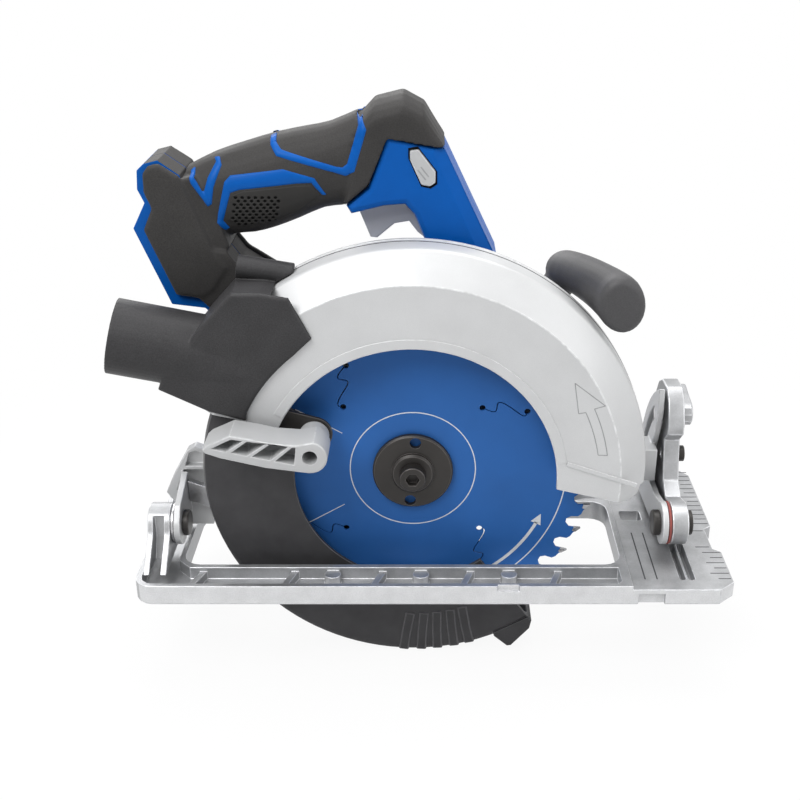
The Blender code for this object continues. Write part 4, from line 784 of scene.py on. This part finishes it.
def dress_guards():
    """Lips, ribs and a plain turning arrow on the guards; the arrow is drawn as thin grey lines that paint the
    shade along its embossed outline.
    """
    face = GUARD_FACE
    trim = bmesh.new()
    ring_band(trim, 70.9, 75.6, 9, 150, 90, face - 0.5, face + 0.4)
    strip(trim, [(74.8, 11.3), (109.0, -0.6)], 2.2, face - 0.7, face + 0.4)
    soften(piece("guard_trim", closed_mesh(trim), "silver_paint", "saw_body"), 0.2)
    arrow = arc_points(90.9, 10, 25, 8)
    arrow += [polar(87.6, 25.6), polar(93.4, 35.0), polar(100.6, 24.6), polar(95.3, 25)]
    arrow += arc_points(95.3, 24, 9.4, 8)
    # Thin grey lines raised on the guard face: painted shade along the edges of an embossed arrow.
    lines = bmesh.new()
    for here, after in zip(arrow, arrow[1:] + arrow[:1]):
        strip(lines, [here, after], 0.42, face - 0.06, face + 0.2)
    piece("guard_arrow_shade_lines", closed_mesh(lines), "grey_print_and_shade", "saw_body", False)
    seam = bmesh.new()
    ring_band(seam, GUARD_RADIUS - 0.25, GUARD_RADIUS + 0.12, -2, 152, 120, 6.8, 7.4)
    piece("guard_seam", closed_mesh(seam), "dark_print_and_shade", "saw_body")
    ribs = bmesh.new()
    low, high = LOWER_FACE - 0.5, LOWER_FACE + 1.6
    for angle in (-92.4, -87.2, -82.4, -77.4, -72.8):
        line = [polar(79.0, angle + 1.2), polar(91.0, angle), polar(102.2, angle - 0.6)]
        strip(ribs, line, 5.4, low, high)
    soften(piece("guard_ribs", closed_mesh(ribs), "guard_grey", "swing_guard"), 0.95, segments=4)


RULE_TICKS = 24
RULE_FIRST = -26.2
RULE_PITCH = 4.85
RULE_GAP = (-1, 26)
RULE_INSET = 0.9


def dress_base():
    """The rule along the front edge and the two sight marks, printed dark, and the grooves of the deck as dark
    strips that paint their shade.
    """
    front = reach("base_shoe", X)[1]
    marks = bmesh.new()
    low, high = DECK - 0.1, DECK + 0.06
    for k in range(RULE_TICKS):
        y = RULE_FIRST + RULE_PITCH * k
        if RULE_GAP[0] < y < RULE_GAP[1]:
            continue
        long = 9.2 if k % 2 else 6.2
        block(marks, (front - RULE_INSET - long, y, low), (front - RULE_INSET, y + 0.55, high))
    for y in (3.4, 19.6):
        block(marks, (front - 12.5, y, low), (front - 5.2, y + 0.6, high))
    # Dark strips that paint the shade inside the deck's two grooves.
    for x in (115.0, 121.0):
        block(marks, (x, -26.5, low), (x + 0.7, 18.0, high))
    piece("base_marks", closed_mesh(marks), "dark_print_and_shade", "base", False)


LOCK_MIDDLE = (5.4, 147.2)
LOCK_OUTLINE = ((-0.6, 155.2), (3.4, 155.8), (11.2, 145.6), (11.2, 140.4), (8.6, 138.6), (4.6, 139.4),
                (-0.6, 151.0))
LOCK_RIM = (1.03, 1.13)
LOCK_BARS = (((4.4, 147.8), (8.0, 143.2)), ((3.0, 146.4), (6.6, 141.8)))


def dress_controls():
    """A near-black ring that paints the shade of the gap around the lock-off button, and two plain bars on it."""
    middle = Vector(LOCK_MIDDLE)
    inner, outer = [[middle + (Vector(p) - middle) * grow for p in LOCK_OUTLINE] for grow in LOCK_RIM]
    face = HANDLE_MID - HANDLE_HALF
    # A ring raised on the shell face, painted near-black as the shade of the button's gap.
    recess = bmesh.new()
    for i in range(len(inner)):
        j = (i + 1) % len(inner)
        plate(recess, [inner[i], inner[j], outer[j], outer[i]], face - 0.12, face + 0.4)
    piece("lock_gap_shade", closed_mesh(recess), "painted_recess_shade", "saw_body", False)
    top = reach("lock_off_button", Y)[0]
    bars = bmesh.new()
    for ends in LOCK_BARS:
        strip(bars, ends, 0.6, top - 0.06, top + 0.3)
    piece("lock_bars", closed_mesh(bars), "grey_print_and_shade", "lock_off", False)


def dress_fasteners():
    """Screws that hold the handle halves, the dock's cover and the motor's cap."""
    for k, (x, z) in enumerate(((26.0, 92.0), (12.0, 66.0))):
        screw(f"handle_screw_{k}", (x, HANDLE_MID + HANDLE_HALF, z), 2.8)
    for k, (x, z) in enumerate(((-112.0, 92.0), (-118.0, 136.0))):
        screw(f"dock_screw_{k}", (x, HANDLE_MID + 19.4, z), 2.8)
    cap = reach("motor_end_cap", Y)[1]
    for k in range(3):
        x, z = polar(29.0, 20 + 120 * k, MOTOR_AXIS)
        screw(f"cap_screw_{k}", (x, cap - 1.7, z), 2.6)


def dress_chute():
    moulded("dust_chute.skin", ("dust_chute",), "dark_plastic", 0.5, 3)


# Stage, light and camera

WORLD_LIGHT = 0.15
FLOOR_SIZE = 6.0
FLOOR_GAP = 0.0004
SHADOW_REACH = (0.18, 0.42)
SHADOW_SHARE = 0.93


def math_of(tree, operation, first, second):
    node = tree.nodes.new("ShaderNodeMath")
    node.operation = operation
    tree.links.new(first, node.inputs[0])
    tree.links.new(second, node.inputs[1])
    return node.outputs[0]


def glow(tree):
    """A mixing factor that is full for the rays that see the backdrop."""
    path = tree.nodes.new("ShaderNodeLightPath")
    total = path.outputs["Is Camera Ray"]
    for name in ("Is Glossy Ray", "Is Transmission Ray"):
        total = math_of(tree, "MAXIMUM", total, path.outputs[name])
    return total


def show_mix(tree, output, factor, lit, white):
    """Sends to an output the lit shader, mixed by a factor with the plain white one."""
    out = tree.nodes.new(output)
    mix = tree.nodes.new("ShaderNodeMixShader")
    tree.links.new(factor, mix.inputs[0])
    tree.links.new(lit.outputs[0], mix.inputs[1])
    tree.links.new(white.outputs[0], mix.inputs[2])
    tree.links.new(mix.outputs[0], out.inputs["Surface"])


def make_world():
    world = bpy.data.worlds.new("studio")
    bpy.context.scene.world = world
    world.use_nodes = True
    tree = world.node_tree
    tree.nodes.clear()
    light = node_of(tree, "ShaderNodeBackground", Color=(0.96, 0.98, 1.0, 1.0), Strength=WORLD_LIGHT)
    white = node_of(tree, "ShaderNodeBackground", Color=(1.0, 1.0, 1.0, 1.0), Strength=1.0)
    show_mix(tree, "ShaderNodeOutputWorld", glow(tree), light, white)


def make_floor():
    """A pale floor that turns plain white away from the object's shadow."""
    bm = bmesh.new()
    bmesh.ops.create_grid(bm, x_segments=1, y_segments=1, size=FLOOR_SIZE)
    bmesh.ops.translate(bm, verts=bm.verts, vec=(0, 0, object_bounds()[0][2] - FLOOR_GAP))
    mesh = bpy.data.meshes.new("floor")
    bm.to_mesh(mesh)
    bm.free()
    material = bpy.data.materials.new("floor")
    material.use_nodes = True
    tree = material.node_tree
    tree.nodes.clear()
    matte = node_of(tree, "ShaderNodeBsdfDiffuse", Color=(0.9, 0.9, 0.9, 1.0))
    white = node_of(tree, "ShaderNodeEmission", Color=(1.0, 1.0, 1.0, 1.0), Strength=1.0)
    coords = tree.nodes.new("ShaderNodeTexCoord")
    length = tree.nodes.new("ShaderNodeVectorMath")
    length.operation = "LENGTH"
    tree.links.new(coords.outputs["Object"], length.inputs[0])
    far = spread(tree, length.outputs["Value"], SHADOW_REACH, SHADOW_SHARE, 1.0)
    show_mix(tree, "ShaderNodeOutputMaterial", math_of(tree, "MULTIPLY", glow(tree), far), matte, white)
    mesh.materials.append(material)
    floor = bpy.data.objects.new("floor", mesh)
    bpy.context.scene.collection.objects.link(floor)


def softbox(name, place, target, size, power):
    light = bpy.data.lights.new(name, "AREA")
    light.shape = "RECTANGLE"
    light.size, light.size_y = size
    light.energy = power
    obj = bpy.data.objects.new(name, light)
    obj.location = place
    obj.rotation_euler = (Vector(target) - Vector(place)).to_track_quat("-Z", "Y").to_euler()
    bpy.context.scene.collection.objects.link(obj)


def make_lights():
    middle = (0.0, 0.0, 0.12)
    softbox("key_light", (-0.55, -0.75, 1.15), middle, (0.9, 0.7), 15.0)
    softbox("top_light", (0.1, 0.25, 1.3), middle, (1.2, 0.8), 12.5)
    softbox("side_light", (1.1, -0.5, 0.6), middle, (0.6, 0.8), 4.5)
    softbox("back_light", (-0.4, 1.2, 0.8), middle, (0.9, 0.6), 5.0)


def make_camera():
    camera = bpy.data.cameras.new("camera")
    camera.sensor_width = 36.0
    camera.lens = 51.93
    camera.shift_x = -0.0391
    obj = bpy.data.objects.new("camera", camera)
    obj.location = (-0.0018, -0.5826, 0.3276)
    obj.rotation_euler = (math.radians(65.48), 0.0, 0.0)
    bpy.context.scene.collection.objects.link(obj)
    bpy.context.scene.camera = obj


make_materials()
dress_nodes()
dress_handle()
dress_chute()
dress_blade()
dress_guards()
dress_base()
dress_controls()
dress_fasteners()
make_floor()
make_world()
make_lights()
make_camera()
bpy.context.scene.view_settings.view_transform = "Standard"
